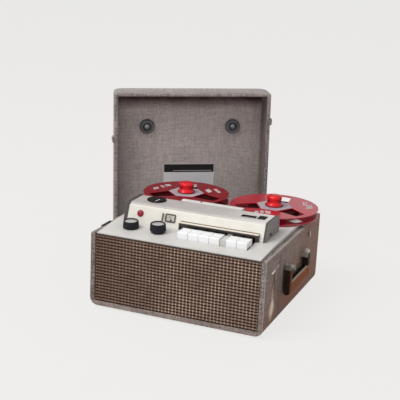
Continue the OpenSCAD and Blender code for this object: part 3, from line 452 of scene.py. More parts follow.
def basket(x, z):
    """Height of the weave, 0 to 1: a weft band is a half ellipse across its row; a warp cord is a
    narrower half ellipse, raised over one band and lowered over the next; the higher one shows."""
    line, cord = (z - WEFT_AT) / WEFT, (x - WARP_AT) / WARP
    from_line, from_cord = (np.abs(k - np.round(k)) * 2 for k in (line, cord))
    weft = np.sqrt(np.clip(1 - (from_line / 0.62) ** 2, 0, 1))
    ride = 0.85 + 0.15 * np.cos(np.pi * (line + np.round(cord)))
    warp = np.sqrt(np.clip(1 - (from_cord / 0.36) ** 2, 0, 1)) * ride
    return np.maximum(0.8 * weft, warp)


grid_x = np.linspace(-GRILLE_HALF, GRILLE_HALF, 48 * 8 + 1)
grid_z = np.linspace(GRILLE_LOW, GRILLE_TOP, 22 * 8 + 1)
across, up = np.meshgrid(grid_x, grid_z, indexing="ij")
woven = np.stack([across, GRILLE_FRONT - RAISE * basket(across, up), up], -1)
back = np.stack(np.broadcast_arrays(grid_x[:, None], GRILLE_BACK, [GRILLE_TOP, GRILLE_LOW]), -1)
grille_material, tree, shader = blank("grille_threads", Roughness=0.9, Specular_IOR_Level=0.1)
x, y, z = axes(object_place(tree, (1000, 1000, 1000)))
from_line, from_cord = (
    sums("PINGPONG", sums("DIVIDE", sums("SUBTRACT", way, start), pitch), 0.5)
    for way, start, pitch in ((z, WEFT_AT, WEFT), (x, WARP_AT, WARP)))
weft_band, warp_cord = ramp(from_line, 0.34, 0.18), ramp(from_cord, 0.2, 0.07)
fibre = noise(object_place(tree, (1, 1, 5)), 330.0, 3.0)
patch = noise(object_place(tree), 30.0, 2.0)
brown = tint(ramp(fibre, 0.35, 0.65), (96, 74, 63), (138, 114, 102))
pale = tint(ramp(fibre, 0.35, 0.65), (150, 132, 116), (230, 216, 196))
# Painted shade: the cords and the holes darker over the gaps between the bands.
pale = tint(weft_band, (120, 98, 82), pale)
woven_tone = tint(weft_band, (42, 22, 14), brown)
shows = times(ramp(patch, 0.3, 0.65, 0.3, 0.9), ramp(x, -115, -5, 0.15, 1.0))
woven_tone = tint(times(warp_cord, shows), woven_tone, pale)
woven_tone = tint(ramp(x, -10, -117, 0.04, 0.26), woven_tone, (66, 42, 32))
seam = sums("MAXIMUM", ramp(sums("ABSOLUTE", x), 115.4, 116.4), ramp(z, 11.6, 10.8))
woven_tone = tint(times(seam, 0.8), woven_tone, (40, 26, 20))
fill(shader, woven_tone, depth=0.0002, height=fibre)
grille = piece("grille_weave", [skin(np.concatenate([woven, back], 1))], "case", grille_material,
               ["grille_cloth"])
# Painted shadow: a dark brown strip in the gap under the deck's front lip.
lip_shadow_brown = grained("lip_shadow_brown", (46, 28, 20), (62, 40, 30), 500, 0.6, 0.8)
reveal = rounded([(-123.4, 102.3), (-122.3, 102.3), (-122.3, 105.0), (-123.2, 105.0)], 0.3, 3)
piece("grille_lip_shadow", [bar("x", -116.6, 116.6, reveal)], "case", lip_shadow_brown)


# WORKS INSIDE THE CASE
# Loudspeaker, zinc-plated chassis, motor, flywheel, belts and a valve amplifier on a resin board.
# They hang from the deck or stand on the case floor, and show only when the deck is off.
dress(grained("zinc_plate", (150, 152, 148), (176, 177, 172), 180, 0.35, 0.6, Metallic=0.85),
      "chassis", "potentiometers", "counter_frame", "pinch_arm")
dress(grained("cast_grey", (86, 88, 90), (108, 109, 110), 500, 0.5, 0.75, 0.0002, Metallic=0.4),
      "speaker", "motor", "head_block")
dress(grained("turned_steel", (166, 166, 164), (196, 196, 193), 300, 0.22, 0.4, 0.0, (1, 1, 12),
              Metallic=1.0), "capstan_flywheel", "supply_turntable", "takeup_turntable")
dress(grained("sintered_bronze", (150, 116, 66), (186, 150, 92), 600, 0.4, 0.6, 0.0001,
              Metallic=0.9), "shaft_bushes", "motor_pulley")
dress(grained("resin_board", (104, 74, 40), (126, 92, 54), 350, 0.5, 0.7, 0.0001),
      "amplifier_board")
dress(grained("lacquered_core", (82, 78, 72), (104, 98, 90), 300, 0.4, 0.65, 0.0001, (1, 1, 20),
              Metallic=0.3), "transformers")
valve_glass, shader, _, smoke = toned(
    "valve_glass", (214, 216, 218), (236, 238, 240), 60, 0.03, 0.1, Roughness=0.05, IOR=1.46,
    Transmission_Weight=0.9)
fill(shader, smoke["Colour"])
dress(valve_glass, "valves")


# REAR PANEL
# Painted hardboard let in between the side walls, with vent slots, a mains inlet and three sockets.
# The photo doesn't show it, so it is kept plain.
dress(grained("panel_paint", (70, 64, 60), (88, 81, 76), 260, 0.6, 0.85, 0.0002), "rear_panel")
moulded_black = grained("moulded_black", (26, 26, 28), (38, 38, 40), 700, 0.3, 0.5, 0.00005)
dress(moulded_black, "rear_sockets")


# DECK
# Folded sheet steel in satin light grey: flat top, an apron that slopes up from the front edge,
# a front lip and side skirts. The slotted screws are nickel plated, those in the cover's cheeks
# blackened.
deck_paint, shader, spot, satin = toned(
    "deck_paint", (204, 201, 197), (213, 210, 206), 700, 0.38, 0.52, Specular_IOR_Level=0.45)
wear_and_reflection = use(scuff, spot, Scale=16.0, Amount=0.35)["Mask"]
fill(shader, tint(wear_and_reflection, satin["Colour"], (168, 163, 158)), satin, 0.00003)
dress(deck_paint, "deck_plate")
screw_steel, shader, spot, plate = toned(
    "screw_steel", (188, 186, 180), (214, 212, 206), 240, 0.2, 0.36, Metallic=0.9)
blacked = ramp(axes(spot)[2], 0.1122, 0.1126)
fill(shader, tint(blacked, plate["Colour"], (74, 69, 67)), plate)
dress(screw_steel, "deck_screws")


# REELS
# Two moulded red reels with three windows in each flange, a pale hub card glued on top and plain
# pale blocks printed beside it. The tape is wound on the hub in level turns, with a pale splice
# label on the left one.
SPINDLES, REEL_TOP = {"supply": (-68.5, 71.0), "takeup": (68.5, 71.0)}, 122.4
# The takeup reel is the lit copy of the supply reel's red: its lighter red and stronger coat paint
# the highlight on its flange.
for name, first, second, lit_coat in (
        ("supply", (116, 5, 20), (126, 8, 25), 0.04),
        ("takeup", (158, 20, 38), (169, 27, 45), 0.5)):
    # A faint red glow is painted light for the light that comes through the red plastic.
    reel_red, shader, spot, cloudy = toned(
        name + "_reel_red", first, second, 240, 0.28, 0.36, IOR=1.5, Coat_Roughness=0.12,
        Emission_Color=paint(*second), Emission_Strength=0.16)
    axis = (*np.divide(SPINDLES[name], 1000).tolist(), 0)
    reach = vector("DISTANCE", vector("MULTIPLY", spot, (1, 1, 0)), axis)
    # Painted shade: the lower flange's top, under the upper one, darker and without its coat.
    inner = times(ramp(axes(spot)[2], 0.1140, 0.1135), ramp(reach, 0.0622, 0.0612))
    wear_and_reflection = use(scuff, spot, Scale=14.0, Amount=0.3)["Mask"]
    worn = tint(wear_and_reflection, cloudy["Colour"], (186, 84, 94))
    fill(shader, tint(times(inner, 0.8), worn, (58, 4, 12)), cloudy,
         Coat_Weight=ramp(inner, 0, 1, lit_coat, 0.0),
         Specular_IOR_Level=ramp(inner, 0, 1, 0.15 + 0.3 * lit_coat, 0.05))
    dress(reel_red, name + "_reel")


def lathe(profile, around=72, flutes=0, depth=0.0):
    """Profile of radius and height carried round Z: x = r cos t, y = r sin t, with r drawn in by
    depth times half of 1 + cos(flutes t)."""
    r, z = np.asarray(profile, float).T
    t = np.linspace(0, 2 * np.pi, around, endpoint=False)
    drawn = depth * (0.5 + 0.5 * np.cos(flutes * t))
    reach = r[:, None] - np.where(r[:, None] > depth * 2, drawn, 0)
    rise = np.broadcast_to(z[:, None], reach.shape)
    return np.stack([reach * np.cos(t), reach * np.sin(t), rise], -1)


def disc(profile, centre=(0, 0, 0), **more):
    """A lathed shape standing on a point."""
    return skin(lathe(profile, **more) + centre)


tape_brown = grained("oxide_tape", (42, 3, 6), (56, 8, 10), 400, 0.6, 0.8, Specular_IOR_Level=0.05)
TAPE_LOW, TAPE_HIGH, HUB_R = 113.75, 120.05, 22.0
for name, pack_r in (("supply", 54.0), ("takeup", 37.0)):
    radius = np.linspace(HUB_R, pack_r, 46)
    level = 0.05 * np.sin(np.arange(46) * 2.4)
    top = np.stack([radius, TAPE_HIGH - 0.06 + level], -1)
    bottom = np.stack([radius[::-1], TAPE_LOW + 0.06 + level], -1)
    rings = lathe(np.vstack([top, bottom, top[:1]]), 96) + (*SPINDLES[name], 0)
    piece(name + "_tape_turns", [skin(rings, capped=False)], name, tape_brown,
          [name + "_tape"], crease=80)
dress(tape_brown, "tape_web")
splice_pale = grained("splice_pale", (196, 156, 150), (216, 180, 174), 300, 0.5, 0.7)
splice = np.array([(-9, 52), (-5, 52.4), (1, 46), (-4.6, 41)]) + SPINDLES["supply"]
piece("supply_splice_label", [bar("z", TAPE_HIGH, TAPE_HIGH + 0.15, splice)], "supply", splice_pale)

hub_card = grained(
    "hub_card", (166, 154, 162), (184, 174, 180), 300, 0.6, 0.75, Specular_IOR_Level=0.3)
print_white = grained("print_white", (180, 154, 158), (210, 194, 194), 260, 0.5, 0.7)
CARD_T, PRINT_T = 0.25, 0.1
PRINTED = {
    "supply": [
        [(-53.4, -2.5), (-49.1, 6.8), (-43, -2.8), (-47.3, -11.4)],
        [(-49, 13.9), (-46.9, 19), (-38.3, 9.4), (-40.5, 5.4)],
        [(-45.8, 22.4), (-40.7, 29.7), (-33.5, 23.2), (-37.9, 15.1)],
        [(28.1, 38.4), (31.6, 41.8), (46.2, 25.5), (42, 21.6)],
        [(19.6, 26.5), (21.6, 36.3), (32.2, 23.7), (29.6, 14.5)]],
    "takeup": [
        [(30.9, 38.1), (32.9, 41.7), (39.9, 24.1), (37.4, 21.4)],
        [(35, 41.8), (36.8, 43), (44.6, 18.3), (42.5, 17.4)],
        [(42, 29), (48.3, 30.3), (54, 13.6), (44.9, 7.8)],
        [(-15.5, -42), (-11.6, -37), (-8.2, -44.4), (-12.2, -49.1)],
        [(-9.4, -35.3), (-5.5, -33), (-1.1, -42.5), (-5.6, -44.5)],
        [(-3, -31.5), (4.8, -30.5), (9, -42.4), (2.5, -43.7)]]}
for name, turn in (("supply", -15), ("takeup", -30)):
    where = np.array(SPINDLES[name])
    t = np.radians(turn + np.array([-34, 34, 86, 154, 206, 274]))
    card = rounded(where + 26.5 * np.stack([np.cos(t), np.sin(t)], -1), 2.0)
    piece(name + "_hub_card", [bar("z", REEL_TOP, REEL_TOP + CARD_T, card)], name, hub_card)
    bars = [bar("z", REEL_TOP, REEL_TOP + PRINT_T, where + mark) for mark in PRINTED[name]]
    piece(name + "_print_bars", bars, name, print_white)


# REEL CAPS
# Glossy red mushroom caps that hold the reels on their spindles: a wide foot, a waist and a domed
# top. Painted shade darkens the groove under the top, the foot, and the sides that turn from view.
cap_red, shader, spot, moulded = toned(
    "cap_red", (234, 22, 34), (248, 34, 46), 180, 0.1, 0.24, Coat_Weight=0.5, Coat_Roughness=0.03,
    Specular_IOR_Level=0.1)
up = axes(spot)[2]
groove = ramp(sums("ABSOLUTE", sums("SUBTRACT", up, 0.1305)), 0.0034, 0.0012, 0.42, 1.0)
shaded = sums("MAXIMUM", ramp(up, 0.1276, 0.1246), groove)
aside = wire(spot.id_data, "LayerWeight", {"Blend": 0.5}).outputs["Facing"]
shaded = sums("MAXIMUM", times(shaded, ramp(aside, 0.08, 0.5)), ramp(up, 0.1260, 0.1240, 0.0, 0.75))
fill(shader, tint(shaded, moulded["Colour"], (92, 0, 8)), moulded)
CAP_PROFILE = [
    (12.2, 0), (13, 0.4), (13, 1.9), (12.6, 2.6), (11.4, 3.4), (10.5, 4.4), (10.1, 5.8),
    (9.95, 7.4), (10, 8.6), (10.3, 9.6), (10.6, 10.6), (10.8, 11.8), (10.6, 13.2), (9.9, 14.5),
    (8.4, 15.6), (5.6, 16.3), (0.6, 16.6)]
for name, spindle in SPINDLES.items():
    foot = (*spindle, REEL_TOP + CARD_T)
    piece(name + "_cap_gloss", [disc(CAP_PROFILE, foot)], name, cap_red, [name + "_cap"])


# HEAD COVER
# Folded steel box over the heads: a leaning front in cream, a grey top; dark plastic cheeks close
# its ends, and a pale shield strip stands behind the tape slot.
COVER_FRONT, DECK_Z, COVER_TOP, LEAN = -64.0, 110.0, 134.0, tan(radians(20))
cover_paint, shader, spot, cream = toned(
    "cover_paint", (227, 222, 212), (234, 231, 223), 600, 0.34, 0.48, Specular_IOR_Level=0.45)
at = axes(spot)
behind = sums("SUBTRACT", sums("ADD", at[1], -COVER_FRONT / 1000),
              times(sums("SUBTRACT", at[2], DECK_Z / 1000), LEAN))
on_top = ramp(behind, 0.0012, 0.0016)
grey = use(grain, spot, Scale=600, First=paint(184, 177, 174), Second=paint(193, 186, 182))
# Painted shade and light: the cream front darker towards the left, the grey top paler towards the
# right.
front = tint(ramp(at[0], -0.03, -0.09, 0.0, 0.5), cream["Colour"], (214, 209, 200))
top = tint(ramp(at[0], 0.02, 0.095, 0.0, 0.75), grey["Colour"], (222, 217, 212))
fill(shader, tint(on_top, front, top), cream, 0.00003)
dress(cover_paint, "head_cover")
dull_black = grained(
    "dull_black", (14, 13, 13), (24, 23, 22), 700, 0.5, 0.7, Specular_IOR_Level=0.2)
shield_paint = grained("shield_paint", (216, 213, 209), (226, 223, 219), 500, 0.35, 0.5, 0.00003)
SHIELD_LEFT, SHIELD_RIGHT = -46.0, 45.0
shield_side = slab(-1.05, DECK_Z, 7.95, 131.6, [0.2, 0.2, 1.2, 0.8], 5)
piece("shield_strip", [bar("x", SHIELD_LEFT, SHIELD_RIGHT, shield_side)], "case", shield_paint,
      ["head_shield"], soft=0.3)
RIVET_PROFILE = [(1.8, 131.5), (1.8, 131.9), (1.3, 132.1), (0.1, 132.15)]
piece("shield_rivet", [disc(RIVET_PROFILE, (-17, 3.2, 0), around=24)], "case", dull_black)

cheek_grey, shader, spot, moulded = toned(
    "cheek_grey", (118, 111, 109), (134, 127, 124), 600, 0.45, 0.62, Specular_IOR_Level=0.45)
off_middle = sums("ABSOLUTE", sums("ADD", axes(spot)[0], 0.002))
outer_face = ramp(off_middle, 0.10255, 0.10285)
fill(shader, tint(outer_face, (72, 66, 64), moulded["Colour"]), moulded, 0.00006)
cheek_side = rounded(
    [(-65, DECK_Z), (-56.3, 135), (-14, 135), (-4, 129.5), (-4, DECK_Z)], [0.6, 3, 3, 2, 0.6])
CHEEKS_X = ((-105.0, -100.0), (98.0, 101.0))
cheeks = [bar("x", *ends, cheek_side) for ends in CHEEKS_X]
piece("cover_cheeks", cheeks, "case", cheek_grey, ["end_cheeks"], soft=0.6)


# KEY VISOR
# A dark moulded hood along the top of the key slot, fixed to the cover front; its ends turn down
# to the deck, and its top carries a cream strip. A thin brown strip behind it is painted shadow in
# the gap there.
visor_dark = grained("visor_dark", (58, 51, 48), (70, 62, 59), 500, 0.4, 0.6, 0.00004)
gap_shadow_line = grained("gap_shadow_line", (104, 78, 48), (122, 94, 62), 500, 0.4, 0.6)
cream_strip = grained("cream_strip", (228, 221, 206), (238, 232, 220), 500, 0.35, 0.5)
VISOR_LEFT, VISOR_RIGHT, VISOR_LOW, VISOR_TOP = -21.0, 92.5, 115.9, 119.4
VISOR_FRONT, VISOR_BACK, LEFT_END, RIGHT_END = -67.5, -60.9, 2.0, 4.6
hood, turned_end = (
    rounded([(VISOR_FRONT, low), (VISOR_FRONT, VISOR_TOP), (VISOR_BACK, VISOR_TOP), (back, low)],
            [edge, 0.7, 0.2, 0.2], 4)
    for low, back, edge in ((VISOR_LOW, VISOR_BACK - 0.6, 0.5), (DECK_Z, -64.2, 0.4)))
visor = [bar("x", VISOR_LEFT + LEFT_END, VISOR_RIGHT - RIGHT_END, hood),
         bar("x", VISOR_LEFT, VISOR_LEFT + LEFT_END, turned_end),
         bar("x", VISOR_RIGHT - RIGHT_END, VISOR_RIGHT, turned_end)]
piece("key_visor", visor, "case", visor_dark)
strip = slab(VISOR_FRONT + 0.3, VISOR_TOP, VISOR_BACK, VISOR_TOP + 0.5, [0.1, 0.1, 0.1, 0.3], 3)
piece("visor_strip", [bar("x", VISOR_LEFT + 0.4, VISOR_RIGHT - 0.4, strip)], "case", cream_strip)
# Painted shadow: the thin brown strip behind the cream strip.
line = (0, VISOR_TOP) + rounded([(-61.6, 0.4), (-61.6, 1.2), (-60.2, 1.2), (-60.4, 0.4)], 0.15, 3)
piece("visor_gap_shadow", [bar("x", VISOR_LEFT, VISOR_RIGHT, line)], "case", gap_shadow_line)


def on_front(x, z):
    """Matrix that puts a shape on the leaning front: its Z out of the face, its Y up the slope."""
    y = COVER_FRONT + (z - DECK_Z) * LEAN
    return Matrix.Translation(Vector((x, y, z)) / 1000) @ Matrix.Rotation(radians(70), 4, "X")


# PILOT LAMP
# A red moulded lens pressed into the left of the cover front. It has a low dome and a plain
# round edge, and its stem goes through the sheet.
lamp_red, shader, _, lens = toned(
    "lamp_red", (136, 22, 40), (160, 32, 50), 300, 0.1, 0.2, Roughness=0.3, Coat_Weight=0.15,
    Coat_Roughness=0.1, Specular_IOR_Level=0.3)
fill(shader, lens["Colour"])
LENS_PROFILE = [
    (4, -6), (4, 0), (4.7, 0), (4.7, 0.9), (4.3, 1.5), (3.2, 2.1), (1.8, 2.4), (0.3, 2.5)]
piece("lamp_dome", [disc(LENS_PROFILE, around=48)], "case", lamp_red,
      ["lamp_lens"], place=on_front(-81.5, 121.6))


# LEVEL METER
# A cream scale box behind a clear window, framed by a thin dark bezel, with a sprung black needle.
# Five short strokes and a dark corner are printed on its face.
# The cream face glows faintly: painted light that keeps the deep box out of shade.
dress(grained("meter_cream", (196, 192, 184), (232, 229, 222), 700, 0.5, 0.7,
              Emission_Color=paint(220, 217, 210), Emission_Strength=0.4), "meter_case")
dress(blank("clear_window", Roughness=0.04, IOR=1.49, Transmission_Weight=1.0)[0], "meter_window")
dress(moulded_black, "meter_needle")


def frame_ring(centre, half_w, half_h, rim, low, high, corner):
    """Rectangular bezel round a centre: one outline outside and one inside, carried from low to
    high and closed through the inside, so the ring has no ends."""
    outer = slab(-half_w - rim, -half_h - rim, half_w + rim, half_h + rim, corner + rim / 2, 5)
    inner = slab(-half_w, -half_h, half_w, half_h, corner / 2, 5)
    rings = np.stack([np.insert(path, 2, z, axis=1) for path, z in
                      ((outer, low), (outer, high), (inner, high), (inner, low), (outer, low))])
    return skin(rings + (*centre, 0), capped=False)


bezel_grey = grained("bezel_grey", (72, 65, 56), (116, 107, 94), 900, 0.4, 0.6)
ON_METER, METER_X = on_front(-39, 121.4), 2.4
window_rim = frame_ring((METER_X, 0), 5.8, 3.8, 2.1, -0.6, 0.7, 0.8)
side_bar = bar("z", -0.6, 0.6, slab(-10.3, -5.4, -8.1, 5.6, 0.5, 3))
piece("meter_bezel", [window_rim, side_bar], "case", bezel_grey, place=ON_METER)
tick = np.array([(5.2, -0.2), (6.4, -0.2), (6.4, 0.2), (5.2, 0.2)])
printed = [tick @ [(cos(k), sin(k)), (-sin(k), cos(k))] + (METER_X, -3.4)
           for k in np.radians(np.linspace(130, 50, 5))]
printed.append(np.array([(-0.9, -3.9), (0.9, -3.9), (2.6, -2.2), (1.4, -1.6)]) + (METER_X, 0))
piece("meter_scale_print", [bar("z", 0.02, 0.12, mark) for mark in printed], "case", bezel_grey,
      place=ON_METER)


# SELECTOR
# A flat black disc on the cover top, with a shallow ring turned into its face and a white wedge
# as its pointer.
SELECTOR = (-71.5, -29.0)
SELECTOR_PROFILE = [
    (12.9, 134.4), (13.5, 134.7), (13.5, 135.6), (13.1, 136), (9.6, 136), (9.3, 135.8),
    (8.9, 135.8), (8.6, 136), (0.5, 136)]
piece("selector_face", [disc(SELECTOR_PROFILE, (*SELECTOR, 0))], "selector", dull_black,
      ["selector_disc"])
wedge = np.array([(2.4, -11.2), (3.6, -11.4), (4.9, 0.4), (3.7, 1.2)]) + SELECTOR
pointer_white = grained("pointer_white", (206, 203, 198), (222, 219, 215), 500, 0.5, 0.7)
piece("selector_pointer", [bar("z", 135.9, 136.15, wedge)], "selector", pointer_white)


# TAPE COUNTER
# Number drums behind a window in the cover top, with the reset button beside them. Both are black
# in the photo, and a thin dark frame runs round each.
dress(dull_black, "counter_drums", "counter_reset")
bezels = [frame_ring(centre, *sizes, COVER_TOP - 1.6, COVER_TOP + 0.3, 0.5)
          for centre, *sizes in (((67.5, -36), 9.5, 4, 0.9), ((85.5, -33), 5.15, 7.4, 0.4))]
piece("counter_bezels", bezels, "case", dull_black)


# KEYS
# Six white piano keys on dark levers that turn on one axle under the cover, four and two,
# with a grey spacer between the groups.
key_white = grained(
    "key_white", (236, 236, 237), (242, 242, 243), 500, 0.2, 0.32, 0.00002, Coat_Weight=0.3,
    Coat_Roughness=0.1)
# The levers' near-black is partly their dark plastic and partly painted shade of the slot under the
# visor.
lever_dark = grained("lever_dark", (34, 29, 27), (46, 40, 37), 400, 0.5, 0.7)
frame_grey, shader, spot, moulded = toned(
    "frame_grey", (196, 191, 186), (210, 206, 201), 400, 0.4, 0.55, Specular_IOR_Level=0.45)
# The frame behind the caps is painted darker: painted shade under the visor.
back_part = ramp(axes(spot)[1], -0.0775, -0.0765)
fill(shader, tint(back_part, moulded["Colour"], (150, 144, 139)), moulded)
dress(frame_grey, "key_frame")
KEY_X, KEY_PITCH, KEY_W, SPACER = -9.75, 14.9, 14.4, 8.5
KEY_SIDE = rounded(
    [(-98, 99.4), (-98, 117.2), (-77, 117.2), (-77, 108.7), (-96, 108.7), (-96, 99.4)],
    [0.3, 1.6, 0.8, 0.5, 0.5, 0.3])
LEVER_SIDE = slab(-96, 110.6, -36, 115.4, 0.5, 3)
for k, name in enumerate(("rewind", "stop", "play", "forward", "pause", "record")):
    x = KEY_X + k * KEY_PITCH + (SPACER if k > 3 else 0)
    piece(name + "_key_cap", [bar("x", x, x + KEY_W, KEY_SIDE)], name + "_lever", key_white,
          [name + "_key"], soft=0.5)
    piece(name + "_key_lever", [bar("x", x + 2.2, x + 12.2, LEVER_SIDE)], name + "_lever",
          lever_dark, soft=0.3)


# KNOBS
# Two tapered blue-black knobs with fine flutes and a bright spun disc let into the top;
# the right one stands on a narrower foot.
knob_blue = grained(
    "knob_blue_black", (15, 14, 24), (26, 25, 36), 500, 0.32, 0.5, 0.00003, Specular_IOR_Level=0.28)
spun_disc = grained("spun_disc", (193, 189, 188), (205, 202, 200), 160, 0.3, 0.4, Metallic=0.3)
APRON = Matrix.Rotation(radians(3.65), 4, "X")
KNOB_SIDE = [
    (10.4, 0), (11, 0.5), (10.9, 1.6), (10.4, 9.2), (10.2, 9.9), (9.8, 10.2), (9.1, 10.2),
    (8.8, 9.8), (8.7, 8.5)]
FLAT_DISC = [(8.6, 8.4), (8.6, 8.8), (8.2, 8.95), (0.4, 9.05)]
FOOT = [(9.4, -2.4), (9.5, -2.0), (9.5, 0.2), (9.2, 0.2)]
for name, x, lift in (("volume", -82, 0.4), ("tone", -42, 2.7)):
    place = (Matrix.Translation(Vector((x, -88, 108.469)) / 1000) @ APRON
             @ Matrix.Translation((0, 0, lift / 1000)))
    side = [disc(KNOB_SIDE, around=144, flutes=36, depth=0.35)]
    piece(name + "_knob_skirt", side + ([disc(FOOT)] if lift > 1 else []), name,
          knob_blue, [name + "_knob"], place=place)
    piece(name + "_knob_disc", [disc(FLAT_DISC)], name, spun_disc, place=place)


# CARRY HANDLE
# It folds flat against the right wall: plated posts and pins, dark arms with round ends, and a
# moulded grip, painted orange-brown for the warm reflection it shows, with painted shadow on its
# top face and a painted highlight along its outer top edge. The lid's keepers have the posts'
# plating, and a rubber pad lies on the left wall top.
plated = grained("plated_posts", (176, 172, 166), (204, 200, 194), 220, 0.22, 0.4, Metallic=0.9)
dress(plated, "handle_posts", "latch_keepers")
post_face = slab(HALF_W, 68.4, 136.2, 76.8, [0.4, 1.8, 1.8, 0.4], 5)
piece("post_faces", [bar("y", near, near + 0.8, post_face) for near in (-35.1, 26.3)], "case",
      plated, soft=0.3)
keeper_face = slab(65, 86.4, 69, 94, 1.2, 4)
keepers = [bar("x", side * HALF_W, side * 126.4, keeper_face) for side in (-1, 1)]
piece("keeper_faces", keepers, "case", plated, soft=0.4)
PAD_FRONT, PAD_REAR = -95.0, -69.0
pad_side = slab(-HALF_W, WALL_TOP, -121.2, 107.2, 0.4, 4)
piece("wall_pad_strip", [bar("y", PAD_FRONT, PAD_REAR, pad_side)], "case", black_rubber,
      ["wall_pad"], soft=0.3)
arm_dark, shader, spot, worn = toned(
    "arm_dark", (30, 19, 14), (50, 33, 24), 400, 0.5, 0.7, Specular_IOR_Level=0.12)
x, y, z = axes(spot)
pin = ramp(sums("ABSOLUTE", sums("ADD", y, 0.004)), 0.0374, 0.0372)
bright = sums("MAXIMUM", pin, ramp(z, 0.0724, 0.0730))
# Painted warm reflection: the front arm's outer face turned brown.
wear_and_reflection = times(ramp(x, 0.1339, 0.1347), ramp(y, -0.02, -0.04))
wear_and_reflection = tint(wear_and_reflection, worn["Colour"], (96, 50, 22))
# The plating painted darker on the front arm and paler on the rear one: painted shade and painted
# highlight.
plating = tint(ramp(y, -0.02, 0.02), (112, 105, 98), (204, 194, 182))
fill(shader, tint(bright, wear_and_reflection, plating), worn)
# The grip's orange-brown is painted warm reflection on a dark moulding.
grip_brown, shader, spot, moulded = toned(
    "grip_brown", (96, 46, 24), (144, 82, 48), 240, 0.5, 0.7, (1, 0.3, 1), Specular_IOR_Level=0.1)
x, y, z = axes(spot)
# Painted shadow on the grip's top face, with a painted highlight along its outer top edge.
crown = ramp(z, 0.0518, 0.0530)
edge = tint(ramp(x, 0.1318, 0.1328), (24, 18, 16), (170, 158, 150))
fill(shader, tint(crown, moulded["Colour"], edge), moulded, 0.0002)
dress(arm_dark, "handle_bail")
GRIP_FRONT, GRIP_REAR, SLEEVE_FRONT, SLEEVE_REAR = -41.5, 33.5, 32.5, 42.0
grip_side = slab(126.3, 37.5, 134.7, 54, [2.5, 3.5, 3.5, 2.5])
piece("grip_mould", [bar("y", GRIP_FRONT, GRIP_REAR, grip_side)], "handle", grip_brown,
      ["handle_grip"], soft=1.2)
sleeve = slab(125.7, 37.2, 135.3, 54.2, [3.5, 4.0, 2.0, 2.0])
piece("grip_end_sleeve", [bar("y", SLEEVE_FRONT, SLEEVE_REAR, sleeve)], "handle", grip_brown,
      soft=0.8)


# LID
# A cloth-covered tray that lifts off and stands on its front edge behind the recorder, a little
# tilted, its inside towards the viewer: a rolled rim, round long edges at the back, a cloth lining.
LID_HALF, LID_H, LID_T, LINING_Y = 124.0, 248.0, 6.0, 39.0
LID_TILT = radians(1.1)
ON_LID = (Matrix.Translation((-0.1056, 0.1882, LID_HALF / 1000 * sin(LID_TILT)))
          @ Matrix.Rotation(radians(29.8), 4, "Z") @ Matrix.Rotation(-LID_TILT, 4, "Y"))


def lid_painted_light(spot, cloud, colour):
    """Painted light and shade: the lining and the top face made paler as painted light, and painted
    shadow under the top wall and on the inner walls, broken up by the clouds. The shares say where
    on the piece these are."""
    tree = spot.id_data
    lining, wall_shade, lit_top = (
        wire(tree, "Attribute", {}, attribute_name=name).outputs["Fac"]
        for name in ("lining", "wall_shade", "lit_top"))
    # Painted light: the top face paler.
    colour = tint(times(lit_top, 0.2), colour, (226, 218, 213))
    # Painted light: the lining paler where the walls would shade it.
    colour = tint(times(lining, 0.36), colour, (224, 211, 207))
    up = axes(wire(tree, "TexCoord", {}).outputs["UV"])[1]
    # Painted shadow under the top wall, and painted shade on the inner walls.
    under = times(lining, ramp(up, 0.214, 0.2315))
    painted_shade = times(sums("MAXIMUM", wall_shade, under), ramp(cloud, 0.25, 0.6, 0.75, 0.97))
    return tint(painted_shade, colour, (60, 34, 31))


lid_cloth = cloth("lid_cloth", (180, 169, 165), (106, 96, 93), lid_painted_light)


def tray(rows, steps=5):
    """Rounded rectangles in the XZ plane, one for each row of depth, half width, half height and
    corner radius, joined from the middle of the inside over the rim to the middle of the back."""
    depth, wide, high, corner = (column[:, None] for column in np.asarray(rows, float).T)
    t = np.linspace(0, np.pi / 2, steps)
    turn = (t[None, :] + np.arange(4)[:, None] * np.pi / 2).ravel()
    sx = np.repeat([1, -1, -1, 1], steps)
    sz = np.repeat([1, 1, -1, -1], steps)
    x = sx * (wide - corner) + corner * np.cos(turn)
    z = sz * (high - corner) + corner * np.sin(turn) + LID_H / 2
    return np.stack([x, np.broadcast_to(depth, x.shape), z], -1)


inside, half = LID_HALF - LID_T, LID_H / 2
bend = np.radians(np.linspace(0, 90, 9))
TRAY_ROWS = [(depth, wide, wide, corner) for depth, wide, corner in (
    (LINING_Y, 114, 1.5), (LINING_Y, 116.4, 1.5), (38.5, 117.5, 1.5), (37.4, inside, 1.5),
    (24, inside, 1.5), (1.6, inside, 1.5), (0.5, inside + 0.4, 1.8), (0, inside + 1.6, 2.2),
    (0, 122.4, 3), (0.5, 123.5, 3.6), (1.6, LID_HALF, 4))]
TRAY_ROWS += [(30 + 15 * sin(a), 109 + 15 * cos(a), half - 0.3 * sin(a) ** 6, 4) for a in bend]
TRAY = tray(TRAY_ROWS)
row_at = np.arange(len(TRAY_ROWS))[:, None]
# Painted shade, row by row: the inner walls, and a little at the inside of the rim.
wall_shade = np.interp(row_at, np.arange(8), [0, 0.4, 0.66, 0.68, 0.68, 0.66, 0.3, 0])
mouth = (np.abs(TRAY[..., 0]) > inside) & (TRAY[..., 1] < 3)
shares = {"lining": np.broadcast_to(row_at < 3, mouth.shape).ravel(),
          "wall_shade": np.maximum(wall_shade, np.where(mouth, 0.18, 0)).ravel(),
          "lit_top": ((TRAY[..., 2] > LID_H - 4) & (row_at > 6)).ravel()}
piece("lid_wrap", [skin(TRAY)], "lid", lid_cloth, ["lid_shell"], place=ON_LID,
      laid=True, shares=shares)


